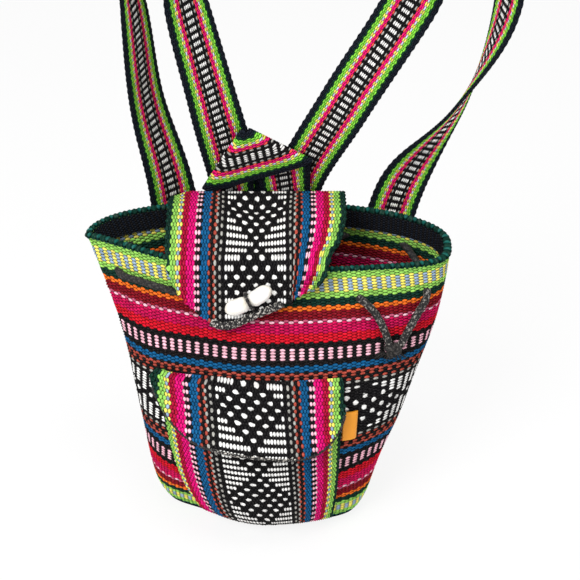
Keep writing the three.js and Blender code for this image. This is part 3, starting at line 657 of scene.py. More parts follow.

# %% [markdown]
# ### Dyed yarn with painted shade and sheen
# The yarn is dull and a little fuzzy, no two floats have quite the same tone, and little light
# reaches the gaps between them. One flat colour for each stripe would look printed. So the finish
# also uses each float's chance number and a fibre noise along the yarn, and from the height of the
# weave it paints shade into the colour, darkest in the gaps. Grey fuzz, partly a painted sheen, is
# added on the tops of the floats.

# %% Build a woven finish
YARN_ROUGHNESS, YARN_GLOSS = 0.9, 0.06
# painted shade: how dark the colour is painted in the gaps between floats, and the height of the weave above
# which none is painted
PAINTED_GAP_SHADE, PAINTED_SHADE_HEIGHT = 0.04, 0.55  # how dark the gaps between floats are, and how high they reach
FLOAT_TONES, FIBRE_TONES = (0.82, 1.22), (0.68, 1.32)  # how tones differ, from float to float and along one
FIBRE_STRETCH = (2.4, 4.0, 1.0)
FIBRE_RELIEF = 0.35
FLOAT_BUMP = 0.5 * MM
# partly loose grey fibres and partly a painted sheen on the floats' tops
FUZZ_AND_SHEEN = (52, 50, 48)  # loose fibres, which grey the yarn in places
DOT_NOISE = 0.9
DOT_WANDER = (("Offset", 0.8), ("Across", 1.4))  # how far the band's dots stray, in picks and threads


def lay_band(tree, cloth, floats, colour, band_half):
    """Colour and height of a cloth with the lozenge band laid over its middle."""
    lozenge = tree.nodes.new("ShaderNodeGroup")
    lozenge.node_tree = band
    for label in ("Bead", "Pick", "Thread"):
        tree.links.new(floats["Band " + label], lozenge.inputs[label])
    stray = calc(tree, "SUBTRACT", noise(tree, cloth, DOT_NOISE), 0.5)
    for label, push in DOT_WANDER:
        moved = calc(tree, "MULTIPLY", stray, push)
        feed(tree, lozenge.inputs[label], calc(tree, "ADD", floats["Band " + label], moved))
    lozenge.inputs["Half"].default_value = band_half
    white = lozenge.outputs["White"]
    height = choose_value(tree, white, floats["Height"], lozenge.outputs["Height"])
    return blend_colours(tree, white, colour, linear(DYES["white"])), height


def woven_finish(name, stripes, band_half=0.0):
    """Dyed yarn in stripes with painted shade in the gaps, and the lozenge band where band_half is the band's
    half width.
    """
    finish, tree, shader = new_finish(name, YARN_ROUGHNESS)
    shader.inputs["Specular IOR Level"].default_value = YARN_GLOSS
    cloth = weave_coordinates(tree)
    woven = tree.nodes.new("ShaderNodeGroup")
    woven.node_tree = weave
    tree.links.new(cloth, woven.inputs["Cloth"])
    floats = woven.outputs
    colour, height = stripe_colour(tree, floats, stripes), floats["Height"]
    if band_half:
        colour, height = lay_band(tree, cloth, floats, colour, band_half)
    stretch = tree.nodes.new("ShaderNodeMapping")
    stretch.inputs["Scale"].default_value = FIBRE_STRETCH
    tree.links.new(cloth, stretch.inputs["Vector"])
    fibre = noise(tree, stretch.outputs[0], 1.0)
    strength = calc(tree, "MULTIPLY", remap(tree, floats["Chance"], 0.0, 1.0, *FLOAT_TONES),
                    remap(tree, fibre, 0.3, 0.7, *FIBRE_TONES))
    # painted shade: the colour darkens towards the gaps between floats
    painted_gap_shade = remap(tree, height, 0.0, PAINTED_SHADE_HEIGHT, PAINTED_GAP_SHADE, 1.0)
    tone_and_painted_shade = calc(tree, "MULTIPLY", strength, painted_gap_shade)
    grey = tree.nodes.new("ShaderNodeCombineColor")
    for socket in grey.inputs:
        feed(tree, socket, tone_and_painted_shade)
    # the stripe's dye, with random tone and painted shade multiplied in
    dye_with_painted_shade = blend_colours(tree, 1.0, colour, grey.outputs[0], "MULTIPLY")
    # grey fuzz and painted sheen on the tops of the floats, none in the painted shade of the gaps
    fuzz_and_sheen = calc(tree, "MULTIPLY", remap(tree, fibre, 0.5, 0.72, 0.0, 1.0), painted_gap_shade)
    feed(tree, shader.inputs["Base Color"], blend_colours(tree, fuzz_and_sheen, dye_with_painted_shade, linear(FUZZ_AND_SHEEN), "ADD"))
    raise_bump(tree, shader, calc(tree, "MULTIPLY_ADD", fibre, FIBRE_RELIEF, height), FLOAT_BUMP)
    return finish


sack_yarn = woven_finish("sack_yarn", SACK_STRIPES, SACK_STRIPES[0][0])
strip_yarn = woven_finish("strip_yarn", STRIP_STRIPES, STRIP_STRIPES[0][0])
tape_yarn = woven_finish("tape_yarn", TAPE_STRIPES)
# navy facing yarn; it also dresses the base, where its dark colour is painted shade
facing_and_base_shade_yarn = woven_finish("facing_and_base_shade_yarn", striped((1, "navy", "black")))
edge_yarn = woven_finish("edge_yarn", striped((1, "teal", "dark_green")))
print("woven finishes:", [yarn.name for yarn in (sack_yarn, strip_yarn, tape_yarn, facing_and_base_shade_yarn, edge_yarn)])

# %% [markdown]
# ## Braided cord
# The drawstring is a soft round braid of black and grey yarn. A braid is two families of strands
# that wind in opposite ways and pass over and under each other. Every strand could be a tube of its
# own, but at this size one tube is enough: its radius follows the strands, so it is knobbly too.

# %% Cord helpers
CORD_DIAMETER = 4.6
CORD_STEP = 0.6  # distance between a cord's rows
BRAID_STRANDS = 4
BRAID_PITCH = 5.2
BRAID_RELIEF = 0.16
CORD_SIDES = 16


def braid_height(around, along):
    """Height of a braid from 0 to 1; around counts turns and along counts pitches."""
    first = around * BRAID_STRANDS + along
    second = around * BRAID_STRANDS - along
    over = np.mod(np.floor(first) + np.floor(second), 2)
    ridge = np.where(over > 0.5, np.sin(np.pi * np.mod(first, 1)), np.sin(np.pi * np.mod(second, 1)))
    return np.abs(ridge)


def cord_frames(line):
    """Two directions across a line at each point, turning as little as they can."""
    along = unit(np.gradient(line, axis=0))
    start = np.array([0.0, 0, 1]) if abs(along[0][2]) < 0.9 else np.array([1.0, 0, 0])
    across = [unit(np.cross(along[0], start))]
    for direction in along[1:]:
        across.append(unit(across[-1] - direction * np.dot(across[-1], direction)))
    across = np.array(across)
    return across, np.cross(along, across)


def roll_cord(name, line, radius, relief=BRAID_RELIEF, sides=CORD_SIDES):
    """A braided tube along a line in mm, closed at both ends."""
    across, up = cord_frames(line)
    length = running_length(line)
    last = len(line) - 1

    def shape(column, row):
        k = np.clip(row - 1, 0, last)
        closed = (row == 0) | (row == last + 2)
        around, along = column / sides, length[k] / BRAID_PITCH
        width = np.where(closed, 0, radius * (1 - relief + relief * braid_height(around, along)))
        turn = -2 * np.pi * around
        aside = across[k] * np.cos(turn)[:, None] + up[k] * np.sin(turn)[:, None]
        points = line[k] + aside * width[:, None]
        return points, np.column_stack([around, along])

    return hang_cloth(name, sides, last + 2, shape)


print("braid of", 2 * BRAID_STRANDS, "strands,", CORD_DIAMETER, "mm thick")

# %% [markdown]
# ### Flecked yarn
# The strands are spun from black and grey fibres, so the cord looks flecked. The shader repeats the
# mesh's pattern of strands, and a fine noise decides where grey shows on top of a strand. Towards the
# grooves between strands the grey fades out, which paints shade there. A mix of two flat colours
# would look like a rope of plastic.

# %% Braid the finishes
CORD_ROUGHNESS = 0.85
FLECK_SCALE, FLECK_DETAIL, FLECK_EDGE, FLECK_RELIEF = 760.0, 3.0, 0.12, 0.4
BRAID_BUMP = 0.4 * MM


def braid_finish(name, dark, light, bare=0.44):
    """Black and grey flecked braid with painted shade in its grooves; a larger bare leaves fewer flecks."""
    finish, tree, shader = new_finish(name, CORD_ROUGHNESS)
    split = tree.nodes.new("ShaderNodeSeparateXYZ")
    tree.links.new(weave_coordinates(tree), split.inputs[0])
    around = calc(tree, "MULTIPLY", split.outputs["X"], float(BRAID_STRANDS))
    strands = [calc(tree, step, around, split.outputs["Y"]) for step in ("ADD", "SUBTRACT")]
    order = calc(tree, "ADD", *[calc(tree, "FLOOR", strand) for strand in strands])
    over = calc(tree, "FLOORED_MODULO", order, 2.0)
    turns = [calc(tree, "MULTIPLY", calc(tree, "FRACT", strand), math.pi) for strand in strands]
    ridges = [calc(tree, "SINE", turn) for turn in turns]
    height = choose_value(tree, over, ridges[1], ridges[0])
    coordinates = tree.nodes.new("ShaderNodeTexCoord")
    fleck = noise(tree, coordinates.outputs["Object"], FLECK_SCALE, FLECK_DETAIL)
    # painted shade: the grey flecks fade out towards the grooves between strands
    pale = calc(tree, "MULTIPLY", remap(tree, fleck, bare, bare + FLECK_EDGE, 0.0, 1.0),
                remap(tree, height, 0.2, 0.9, 0.0, 1.0))
    feed(tree, shader.inputs["Base Color"], blend_colours(tree, pale, linear(dark), linear(light)))
    raise_bump(tree, shader, calc(tree, "MULTIPLY_ADD", fleck, FLECK_RELIEF, height), BRAID_BUMP)
    return finish


cord_yarn = braid_finish("cord_yarn", (14, 13, 14), (146, 140, 134), 0.51)
knot_yarn = braid_finish("knot_yarn", (13, 12, 13), (62, 58, 55))
hem_yarn = braid_finish("hem_yarn", (14, 13, 14), (206, 200, 192), 0.5)
print("cord finishes:", [finish.name for finish in (cord_yarn, knot_yarn, hem_yarn)])

# %% [markdown]
# ## The drawstring's free ends
# Cords come before cloth, because they are the pieces that hang in the open. Both ends leave the
# wall through eyelets below the rim, right of the flap, and fall down the front to one shared
# knot. A simulation could drop them, but two short ends are easily placed: each bends out of its
# eyelet in one even arc, and then hangs off the wall by half the knot's depth.

# %% Hang the free ends
LACE_DROP = 18.5
LACE_STITCHES = [-61, -116, -153, -213, -234, -296, -320, -389]  # angles of the eyelets in degrees
KNOT_SIZE = np.array([13.0, 9.0, 10.0])
KNOT_X, KNOT_DROP = 75.0, 52.0
CORD_RADIUS = CORD_DIAMETER / 2
LACE_LEVEL, KNOT_LEVEL = drop_level(LACE_DROP), drop_level(KNOT_DROP)
KNOT_TOP = drop_level(KNOT_DROP - KNOT_SIZE[2] / 4)
FREE_ENDS = [  # name, eyelet, side of the knot, and how far the way down bows out
    ("left", LACE_STITCHES[0], -1, 0.72),
    ("right", LACE_STITCHES[-1], 1, 0.52),
]
FREE_POINTS = 24
FREE_BEND = 2.3 * CORD_DIAMETER  # radius of the bend out of the eyelet
EXIT_LEAN = 1 - KNOT_SIZE[1] / 2 / FREE_BEND  # cosine of the angle at which the cord leaves the wall
knot_at = wall_front(KNOT_X, KNOT_LEVEL, KNOT_SIZE[1] / 2 + SEAM_GAP)


def free_end(angle, side, bow):
    """Points of one free end: one even bend out of its eyelet, then down the wall to the knot."""
    share = np.linspace(0, 1, FREE_POINTS)
    eyelet_x, knot_x = wall_face(angle, LACE_LEVEL)[0], knot_at[0] + side * KNOT_SIZE[0] / 4
    corner_x, corner_level = between(eyelet_x, knot_x, bow), between(LACE_LEVEL, KNOT_TOP, 1 - bow)
    x = between(between(eyelet_x, corner_x, share), between(corner_x, knot_x, share), share)
    upper, lower = between(LACE_LEVEL, corner_level, share), between(corner_level, KNOT_TOP, share)
    level = between(upper, lower, share)
    fallen = running_length(wall_front(x, level, 0.0))
    slant = np.maximum(math.sqrt(1 - EXIT_LEAN**2) - fallen / FREE_BEND, 0)
    return wall_front(x, level, SEAM_GAP + FREE_BEND * (np.sqrt(1 - slant**2) - EXIT_LEAN))


for title, angle, side, bow in FREE_ENDS:
    line = even_line(smooth_line(free_end(math.radians(angle), side, bow))[0], CORD_STEP)
    end = roll_cord(f"drawstring_end_{title}", line, CORD_RADIUS / (1 - BRAID_RELIEF / 2))
    dress(end, cord_yarn, "cord", f"drawstring_{title}_end")
    print(title, "free end is", round(running_length(line)[-1], 1), "mm long")

# %% [markdown]
# ### The knot and its frayed tips
# Both ends are tied together, and their yarn frays out below the knot. A trefoil is the simplest
# closed line that is truly knotted, so a short cord rolled along a small trefoil looks tied from
# every side. The frayed tips are thin threads that lean at random, joined into one piece.

# %% Tie the knot
KNOT_REACH = np.array([1.3, 1.8, 0.95])  # size of the trefoil
KNOT_CORD = CORD_RADIUS - 0.1  # a tied cord is pulled a little thinner
FRAY_COUNT, FRAY_RADIUS, FRAY_SIDES = 40, 0.32, 5
FRAY_ROOT = np.array([5.0, 2.2, -2.0])  # how far from the knot's middle the threads start
FRAY_LEAN = np.array([5.0, 1.2, 0])
FRAY_STRAY, FRAY_LENGTH, FRAY_BOW = 0.8, (2.5, 4.5), (0.5, 0.3, 0.4)
knot_turns = np.linspace(0, 2 * np.pi, 90)
knot_loop = np.column_stack([
    np.sin(knot_turns) + 2 * np.sin(2 * knot_turns),
    -np.sin(3 * knot_turns),
    np.cos(knot_turns) - 2 * np.cos(2 * knot_turns),
]) * KNOT_REACH
knot = roll_cord("drawstring_tied_knot", knot_at + even_line(knot_loop, CORD_STEP), KNOT_CORD)
dress(knot, knot_yarn, "cord", "drawstring_knot")
draw = np.random.default_rng(7)
frays = []
for k in range(FRAY_COUNT):
    lean = np.append(draw.uniform(-1, 1, 2), 1)
    root = knot_at + lean * FRAY_ROOT
    tip = root + lean * FRAY_LEAN + np.array([draw.normal(0, FRAY_STRAY), 0, -draw.uniform(*FRAY_LENGTH)])
    bow = np.array([draw.normal(0, FRAY_BOW[0]), draw.normal(0, FRAY_BOW[1]), FRAY_BOW[2]])
    line = smooth_line([root, (root + tip) / 2 + bow, tip], 4)[0]
    frays.append(roll_cord(f"fray_{k}", line, FRAY_RADIUS, 0.0, FRAY_SIDES))
bpy.ops.object.select_all(action="DESELECT")
for thread in frays:
    thread.select_set(True)
bpy.context.view_layer.objects.active = frays[0]
bpy.ops.object.join()
frayed = bpy.context.object
frayed.name = frayed.data.name = "drawstring_frayed_tips"
dress(frayed, knot_yarn, "cord")

# %% [markdown]
# ## The sack
# The body is one long cloth with its warp running round the bag, so its stripes are level. Its
# columns keep one pick's width everywhere. Lower down, where the sack is narrower, the spare
# columns run out at the seam in the middle of the back, as in a cloth that is cut to a taper.
# Squeezing all columns together would be simpler, but the floats would shrink with them.

# %% Measure the sack's cloth
PICK = 2.95
THREAD = 1.9
FOOT_TURN = 9.0  # length of cloth that turns under at the foot
SACK_HALF = sum(stripe[0] for stripe in SACK_STRIPES)
INNER_ROWS = 22
FULL_TURN = np.linspace(math.pi / 2, -1.5 * math.pi, 1441)  # back, right, front, left, back
FRONT_TURN = len(FULL_TURN) // 2

fall = np.linspace(1, WALL_FOOT_LEVEL, 600)
fall_length = running_length(wall_face(-math.pi / 2, fall))
FRONT_FALL = fall_length[-1]


def fall_level(drop):
    """Level at a distance down the front, measured along the cloth."""
    return np.interp(drop, fall_length, fall)


def ring(level):
    """Distance from the front middle round one level, for each angle of a full turn."""
    length = running_length(wall_face(FULL_TURN, level))
    return length - length[FRONT_TURN]


outer = np.arange(SACK_HALF, -SACK_HALF - 0.25, -0.5)
inner = np.linspace(-SACK_HALF, SACK_HALF, INNER_ROWS)
row_thread = np.concatenate([outer, inner, outer[:1]])
row_outside = np.concatenate([np.ones(len(outer)), np.zeros(INNER_ROWS), [1]])
row_drop = (SACK_HALF - row_thread) * FRONT_FALL / (2 * SACK_HALF)
rim_round = ring(1.0)
mouth_round = rim_round[-1] - rim_round[0]
half_columns = int(max(abs(rim_round[0]), rim_round[-1]) / (PICK / 2)) + 2
column_at = (np.arange(2 * half_columns + 1) - half_columns) * PICK / 2
print("sack cloth is cut", round(mouth_round), "by", round(FRONT_FALL), "mm")

# %% [markdown]
# ### Sewing the sack
# Cloth that is sewn by hand is never quite even: it waves a little, and round the left side the
# stripes dip. Sculpting could do this, but it would move beads and stripes apart. So small sums
# shift each row before it is pinned, and the rows go down outside, turn under and come up inside.

# %% Sew the sack
RELIEF, BEAD_SINK = 0.75, 0.5  # height of the beads, and how deep they are set into the cloth
DIP, DIP_LEVEL, DIP_REACH = 5.0, 0.64, 0.2  # depth in mm, and its level and reach on the wall
DIP_FROM, DIP_TO = np.radians([112, 150]), np.radians([215, 250])  # where the dip begins and ends
RIM_HOLD, FOOT_HOLD = 14.0, 20.0  # the seams hold the stripes level near the rim and the foot
SLACK = 0.35
SLACK_WAVES = [(5, 7, 0), (9, -11, 1), (3, 17, 2)]  # how fast each wave goes round and up, and its start
AREA_STEPS = 40


def stripe_sway(angle, drop):
    """How far the stripes hang below their even height: they dip round the left side."""
    left = ease(-angle, *DIP_FROM) * (1 - ease(-angle, *DIP_TO))
    dip = left * (DIP * np.exp(-(((drop_level(drop) - DIP_LEVEL) / DIP_REACH) ** 2)) + 1)
    hold = np.clip(drop / RIM_HOLD, 0, 1) * np.clip((FRONT_FALL - drop) / FOOT_HOLD, 0, 1)
    return dip * hold


def slack(angle, level):
    """Soft unevenness of hand-sewn cloth, in mm."""
    waves = sum(np.sin(turns * angle + climb * level + start) for turns, climb, start in SLACK_WAVES)
    return SLACK * waves * np.sin(np.pi * np.clip(level, 0, 1)) ** 0.5


def beads(weave_at):
    """Height of the floats over the cloth's hung face, in mm."""
    return RELIEF * float_height(weave_at[:, 0], weave_at[:, 1]) - BEAD_SINK


def sack_shape(column, row):
    angle, distance = np.zeros(len(row)), np.zeros(len(row))
    seam = np.zeros(len(row), bool)
    for k, drop in enumerate(row_drop):
        here = row == k
        around = ring(fall_level(drop))
        distance[here] = np.clip(column_at[column[here]], around[0], around[-1])
        angle[here] = np.interp(distance[here], around, FULL_TURN)
        seam[here] = (distance[here] <= around[0]) | (distance[here] >= around[-1])
    drop = np.clip(row_drop[row] + stripe_sway(angle, row_drop[row]), 0, FRONT_FALL)
    level = fall_level(drop)
    weave_at = np.column_stack([distance / PICK, row_thread[row]])
    bead = np.where(seam, -BEAD_SINK, beads(weave_at))
    under = ease(drop, FRONT_FALL - FOOT_TURN, FRONT_FALL) ** 2
    lift = np.where(row_outside[row] > 0, bead, -WALL_CLOTH) + slack(angle, level) - 0.2 * FOOT_TURN * under
    points = wall_point(angle, level, lift)
    points[:, 2] -= 0.5 * FOOT_TURN * under * row_outside[row]
    return points, weave_at


sack = hang_cloth("sack_cloth", len(column_at) - 1, len(row_thread) - 1, sack_shape)
dress(sack, sack_yarn, "sack_cloth", "body_panel")
rounds = [ring(level) for level in fall_level(np.linspace(0, FRONT_FALL, AREA_STEPS))]

# %% [markdown]
# ### The base
# The bag's bottom is a plain panel that is sewn in along the foot. Its dark navy and black is painted
# shade, so that the foot reads as the shadow under the bag. A filled circle would have long thin
# faces, so a grid is wound round the middle instead: its rows are rings that grow out to the foot's
# outline, and the last ones curl up to the seam.

# %% Sew in the base
BASE_RINGS = 24
BASE_CURL = 1.2  # how far the edge curls up
BASE_INSET = 0.45 * FOOT_TURN  # how far inside the wall the base ends
foot_turn = np.linspace(math.pi / 2, -1.5 * math.pi, 181)
foot_ring = wall_point(foot_turn, WALL_FOOT_LEVEL, -BASE_INSET)
foot_middle = foot_ring[:-1].mean(0)


def base_shape(column, row):
    share = np.clip(row / BASE_RINGS, 0, 1)
    flat_points = between(foot_middle, foot_ring[column], share[:, None] ** 0.8)
    flat_points[:, 2] = BASE_CURL * ease(share, 0.86, 1.0)
    weave_at = np.column_stack([flat_points[:, 0] / PICK, flat_points[:, 1] / THREAD])
    return flat_points, weave_at


base = hang_cloth("base_cloth", len(foot_turn) - 1, BASE_RINGS, base_shape)
edit_all(base, (bpy.ops.mesh.normals_make_consistent, {"inside": True}))
thicken(base, BASE_CLOTH - 0.2)
edit_all(base, (bpy.ops.mesh.normals_make_consistent, {"inside": False}))
# the dark facing yarn on the base is painted shade
dress(base, facing_and_base_shade_yarn, "sack_cloth", "base_panel")

# %% [markdown]
# ### The rim's facing
# Inside the mouth a navy band covers the cloth's raw edge. Dyeing a part of the sack would be less
# work, but the band is a cloth of its own with a finer weave, and its lower edge stands out. So it
# is a second sheet, hung against the inner side of the wall.

# %% Face the rim
FACING_HEIGHT, FACING_CLOTH = 11.8, 1.6
FACING_TOP = 1.5
FACING_ROWS = 8
FACING_PITCH = 1.6
RIM_BEAD = 3.1
rim_stitches = int(round(mouth_round / RIM_BEAD))
rim_picks = 2 * rim_stitches


def rim_angle(share):
    """Angle at a share of the way round the rim."""
    return np.interp(between(rim_round[0], rim_round[-1], share), rim_round, FULL_TURN)


def facing_shape(column, row):
    drop = between(FACING_TOP, FACING_HEIGHT, row / FACING_ROWS)
    level = drop_level(drop)
    angle = rim_angle(column / rim_picks)
    weave_at = np.column_stack([column * RIM_BEAD / 2 / FACING_PITCH, drop / FACING_PITCH])
    lift = np.full(len(row), -WALL_CLOTH - SEAM_GAP - FACING_CLOTH)
    return wall_point(angle, level, lift), weave_at


facing = hang_cloth("rim_facing_cloth", rim_picks, FACING_ROWS, facing_shape)
turn_over(facing)
thicken(facing, FACING_CLOTH)
dress(facing, facing_and_base_shade_yarn, "facing_cloth", "rim_facing")

# %% [markdown]
# ### The overcast edge
# The rim is overcast with green yarn: each stitch wraps over the edge and leaves a bead. Single
# stitches could be copied along the rim, but one tube is enough, if its section swells and shrinks
# once for each stitch.

# %% Bind the rim
BIND_SIDES = 12
BIND_STEPS = 4
BIND_WIDTH, BIND_HEIGHT, BIND_SINK = 2.8, 2.2, 0.9
BIND_SWELL, BIND_SLANT = 0.38, 0.12  # share by which stitches swell, and how far they slant


def bind_shape(column, row):
    stitch = row / BIND_STEPS
    angle = rim_angle(row / (rim_stitches * BIND_STEPS))
    turn = 2 * np.pi * column / BIND_SIDES
    swell = 1 - BIND_SWELL + BIND_SWELL * np.abs(np.sin(np.pi * (stitch + BIND_SLANT * np.sin(turn))))
    middle = wall_point(angle, 1.0, np.full(len(row), -WALL_CLOTH / 2))
    outward = wall_normal(angle, 1.0)
    across = BIND_WIDTH * np.cos(turn) * swell
    upward = BIND_HEIGHT * np.sin(turn) * swell - BIND_SINK
    points = middle + outward * across[:, None] + np.array([0, 0, 1.0]) * upward[:, None]
    return points, np.column_stack([stitch + 0.06, np.sin(turn) * 0.24])


binding = hang_cloth("rim_overcast_edge", BIND_SIDES, rim_stitches * BIND_STEPS, bind_shape)
edit_all(binding, (bpy.ops.mesh.normals_make_consistent, {"inside": False}))
dress(binding, edge_yarn, "sack_cloth")

# %% [markdown]
# ## Lacing
# The drawstring runs in and out of the wall below the facing. Outside it lies on the cloth, and
# inside it cuts across the corners, as a cord does when it is pulled. A simulation would have to
# be pulled tight first, so the cord's way is written down, eyelet by eyelet.

# %% Lace the drawstring
EYELET_REACH = 5.5  # how far from an eyelet the cord lies flat
LACE_STEP, LACE_SPAN = 0.75, 0.2  # distance of the cord's rows, and angle between its stations
CORD_OUTSIDE = CORD_RADIUS + 2 * SEAM_GAP
CORD_INSIDE = -WALL_CLOTH - CORD_RADIUS - 2 * SEAM_GAP


def level_point(angle, lift):
    """Point beside the wall at the lacing's own height."""
    normal = wall_normal(angle, LACE_LEVEL)
    normal[2] = 0
    return wall_face(angle, LACE_LEVEL) + unit(normal) * lift


def eyelet_turn(angle):
    """Angle that an eyelet's reach takes up at its place on the wall."""
    step = 0.02
    ahead, behind = wall_face(angle + step, LACE_LEVEL), wall_face(angle - step, LACE_LEVEL)
    return EYELET_REACH * 2 * step / np.linalg.norm(ahead - behind)


lace_angles = [math.radians(stitch) for stitch in LACE_STITCHES]
lace = [wall_point(lace_angles[0], LACE_LEVEL, lift) for lift in (-SEAM_GAP, -WALL_CLOTH)]
for k, (angle, following) in enumerate(zip(lace_angles, lace_angles[1:])):
    if k:
        lace.append(wall_point(angle, LACE_LEVEL, -WALL_CLOTH / 2))
    first, last = angle - eyelet_turn(angle), following + eyelet_turn(following)
    corner = abs(math.cos((first + last) / 2)) > 0.9 and k % 2 == 0
    count = 1 if corner else max(3, round((first - last) / LACE_SPAN))
    lift = CORD_OUTSIDE if k % 2 else CORD_INSIDE
    lace += [level_point(between(first, last, step / count), lift) for step in range(count + 1)]
lace += [wall_point(lace_angles[-1], LACE_LEVEL, lift) for lift in (-WALL_CLOTH, -SEAM_GAP)]
laced = roll_cord("drawstring_laced", even_line(smooth_line(lace)[0], LACE_STEP), CORD_RADIUS)
dress(laced, knot_yarn, "cord", "drawstring_run")

# %% [markdown]
# ## The main flap
# The flap is a strip of cloth with its warp running lengthwise. Its tail is sewn behind the back
# rim; it crosses the mouth, folds over the front rim and ends in a lopsided tongue. A cloth
# simulation could drape it, but the weave would slide out of its rows. So the flap's way is drawn
# from the side as one line, and the tongue's outline from the front.

# %% Draw the flap's way
FLAP_CLOTH = 2.6
FLOAT_ROOM = 0.3  # part of the cloth's thickness that its beads take up
FLAP_TAIL, FLAP_ARCH = 24.0, 3.0
FLAP_LEFT, FLAP_RIGHT, FLAP_MIDDLE = -62.0, 48.0, -7.0
FLAP_OUTLINE = np.array([  # x, and how far the edge hangs below the front rim there
    [FLAP_LEFT, -14], [-55, 10], [-40, 26], [-26, 32.5], [-8, 26],
    [10, 18], [28, 6], [38, -5], [44, -19], [FLAP_RIGHT, -36],
], float)
FLAP_SIDE = FLAP_OUTLINE[5, 0]  # x at which the tongue's lower edge becomes its right edge
FLAP_REACH = FLAP_OUTLINE[:, 1].max()
FLAP_HALF = FLAP_RIGHT - FLAP_MIDDLE
flap_edge = smooth_line(FLAP_OUTLINE)[0]
back_y, back_z = BACK_RIM[1:]
front_y, front_z = FRONT_RIM[1:]


def over_mouth(share):
    """Place of the flap over the mouth, from the back rim to the front rim."""
    y = between(back_y - WALL_CLOTH, front_y + WALL_CLOTH, share)
    return y, between(back_z, front_z, share**2) + SEAM_GAP + 1.6 + FLAP_ARCH * math.sin(math.pi * share)


front_hang = [wall_face(-math.pi / 2, drop_level(FLAP_REACH * share)) for share in (0.25, 0.6, 1)]
# the few bare millimetres below keep the flap clear of the rim's overcast edge
flap_path = even_line(smooth_line([
    (back_y + SEAM_GAP, back_z - FLAP_TAIL),
    (back_y + SEAM_GAP, back_z - FLAP_TAIL / 2),
    (back_y + 2 * SEAM_GAP, back_z - 1),
    (back_y - 1, back_z + SEAM_GAP + 1.8),
    *[over_mouth(share) for share in (0.06, 0.35, 0.65, 0.9)],
    (front_y - 0.4, front_z + SEAM_GAP + 2.6),
    (front_y - SEAM_GAP - 2.2, front_z - 2),
    *[(y - SEAM_GAP - 1.4, z) for _, y, z in front_hang],
])[0], 0.25)
flap_run = running_length(flap_path)
FLAP_LENGTH = flap_run[-1]
FLAP_FOLD = FLAP_LENGTH - FLAP_REACH  # distance from the tail's end to the front rim
flap_along = unit(np.gradient(flap_path, axis=0))
outer_run = running_length(flap_path + FLAP_CLOTH * flap_along[:, ::-1] * (1, -1))  # along the outer face


def on_flap(x, distance, lift):
    """Point at a distance from the tail's end; a positive lift is out of the outer face."""
    y, z = (np.interp(distance, flap_run, flap_path[:, k]) for k in (0, 1))
    along_y, along_z = (np.interp(distance, flap_run, flap_along[:, k]) for k in (0, 1))
    return np.stack(np.broadcast_arrays(x, y + along_z * lift, z - along_y * lift), -1)


print("flap runs", round(FLAP_LENGTH), "mm from its tail to its tip")

# %% [markdown]
# ### Hanging the flap
# Two rows of the flap's grid are one pick, and they end where the tongue's outline says.
# The real flap is drawn in on the right, curls up there, and sags over the open mouth. All this
# could be pulled by hand. As small sums on a point's place, each can be changed on its own.

# %% Hang the flap
FLAP_BAND = 21.0  # half width of the middle band, which keeps its width where the right edge draws in
FLAP_PICK, FLAP_FRONT_PICK, FLAP_PHASE = 3.05, 2.45, 4  # the picks lie closer together in front
FLAP_SPREAD, SPREAD_AT, SPREAD_REACH = 0.9, -12.0, 3.5  # and wider apart just before the fold
FLAP_DRAW, FLAP_DRAW_FROM = 0.7, -6.0  # the right edge is drawn in from this drop on
FLAP_CURL, FLAP_SAG, SAG_HALF = 5.0, 7.5, 26.0
FLAP_SINK, SINK_WIDTH, SINK_REACH = 3.5, 13.0, 9.0  # the left edge sinks at the crest
TUCK_SLOPE, TUCK_MOST = 0.9, 4.0  # tucked cloth goes down by this share, up to so many mm
right_edge = flap_edge[flap_edge[:, 0] >= FLAP_SIDE][::-1]


def selvedge_x(drop):
    """x of the right edge so far below the front rim."""
    return np.interp(drop, right_edge[:, 1], right_edge[:, 0])


def flap_x(across, drop):
    """x of the cloth across the flap, and how much of it the right edge tucks under."""
    band_edge = FLAP_MIDDLE + FLAP_BAND
    beside = np.maximum(across - FLAP_BAND, 0) / (FLAP_HALF - FLAP_BAND)
    drawn = FLAP_DRAW * np.maximum(drop - FLAP_DRAW_FROM, 0)
    edge = selvedge_x(np.minimum(drop, FLAP_DRAW_FROM)) - drawn
    x = FLAP_MIDDLE + np.minimum(across, FLAP_BAND) + beside * (edge - band_edge)
    tucked = np.where(across > FLAP_BAND, np.maximum(x - selvedge_x(drop), 0), 0)
    return x - tucked, tucked


def flap_lift(across, x, distance, stop):
    """The right edge curls up in front, the left one sinks at the crest, and the middle sags."""
    curl = FLAP_CURL * ease(x, 0, FLAP_RIGHT) * ease(distance / stop, 0.3, 0.9)
    over = ease(distance, FLAP_TAIL + 6, FLAP_TAIL + 22) * (1 - ease(distance, FLAP_FOLD - 28, FLAP_FOLD - 4))
    sag = FLAP_SAG * np.clip(1 - np.hypot(across, 4) / SAG_HALF, 0, 1) * over
    at_crest = np.exp(-(((distance - FLAP_TAIL - 3) / SINK_REACH) ** 2))
    sink = FLAP_SINK * ease(-across, FLAP_HALF - SINK_WIDTH, FLAP_HALF) * at_crest
    return FLAP_CLOTH + curl - sink - sag


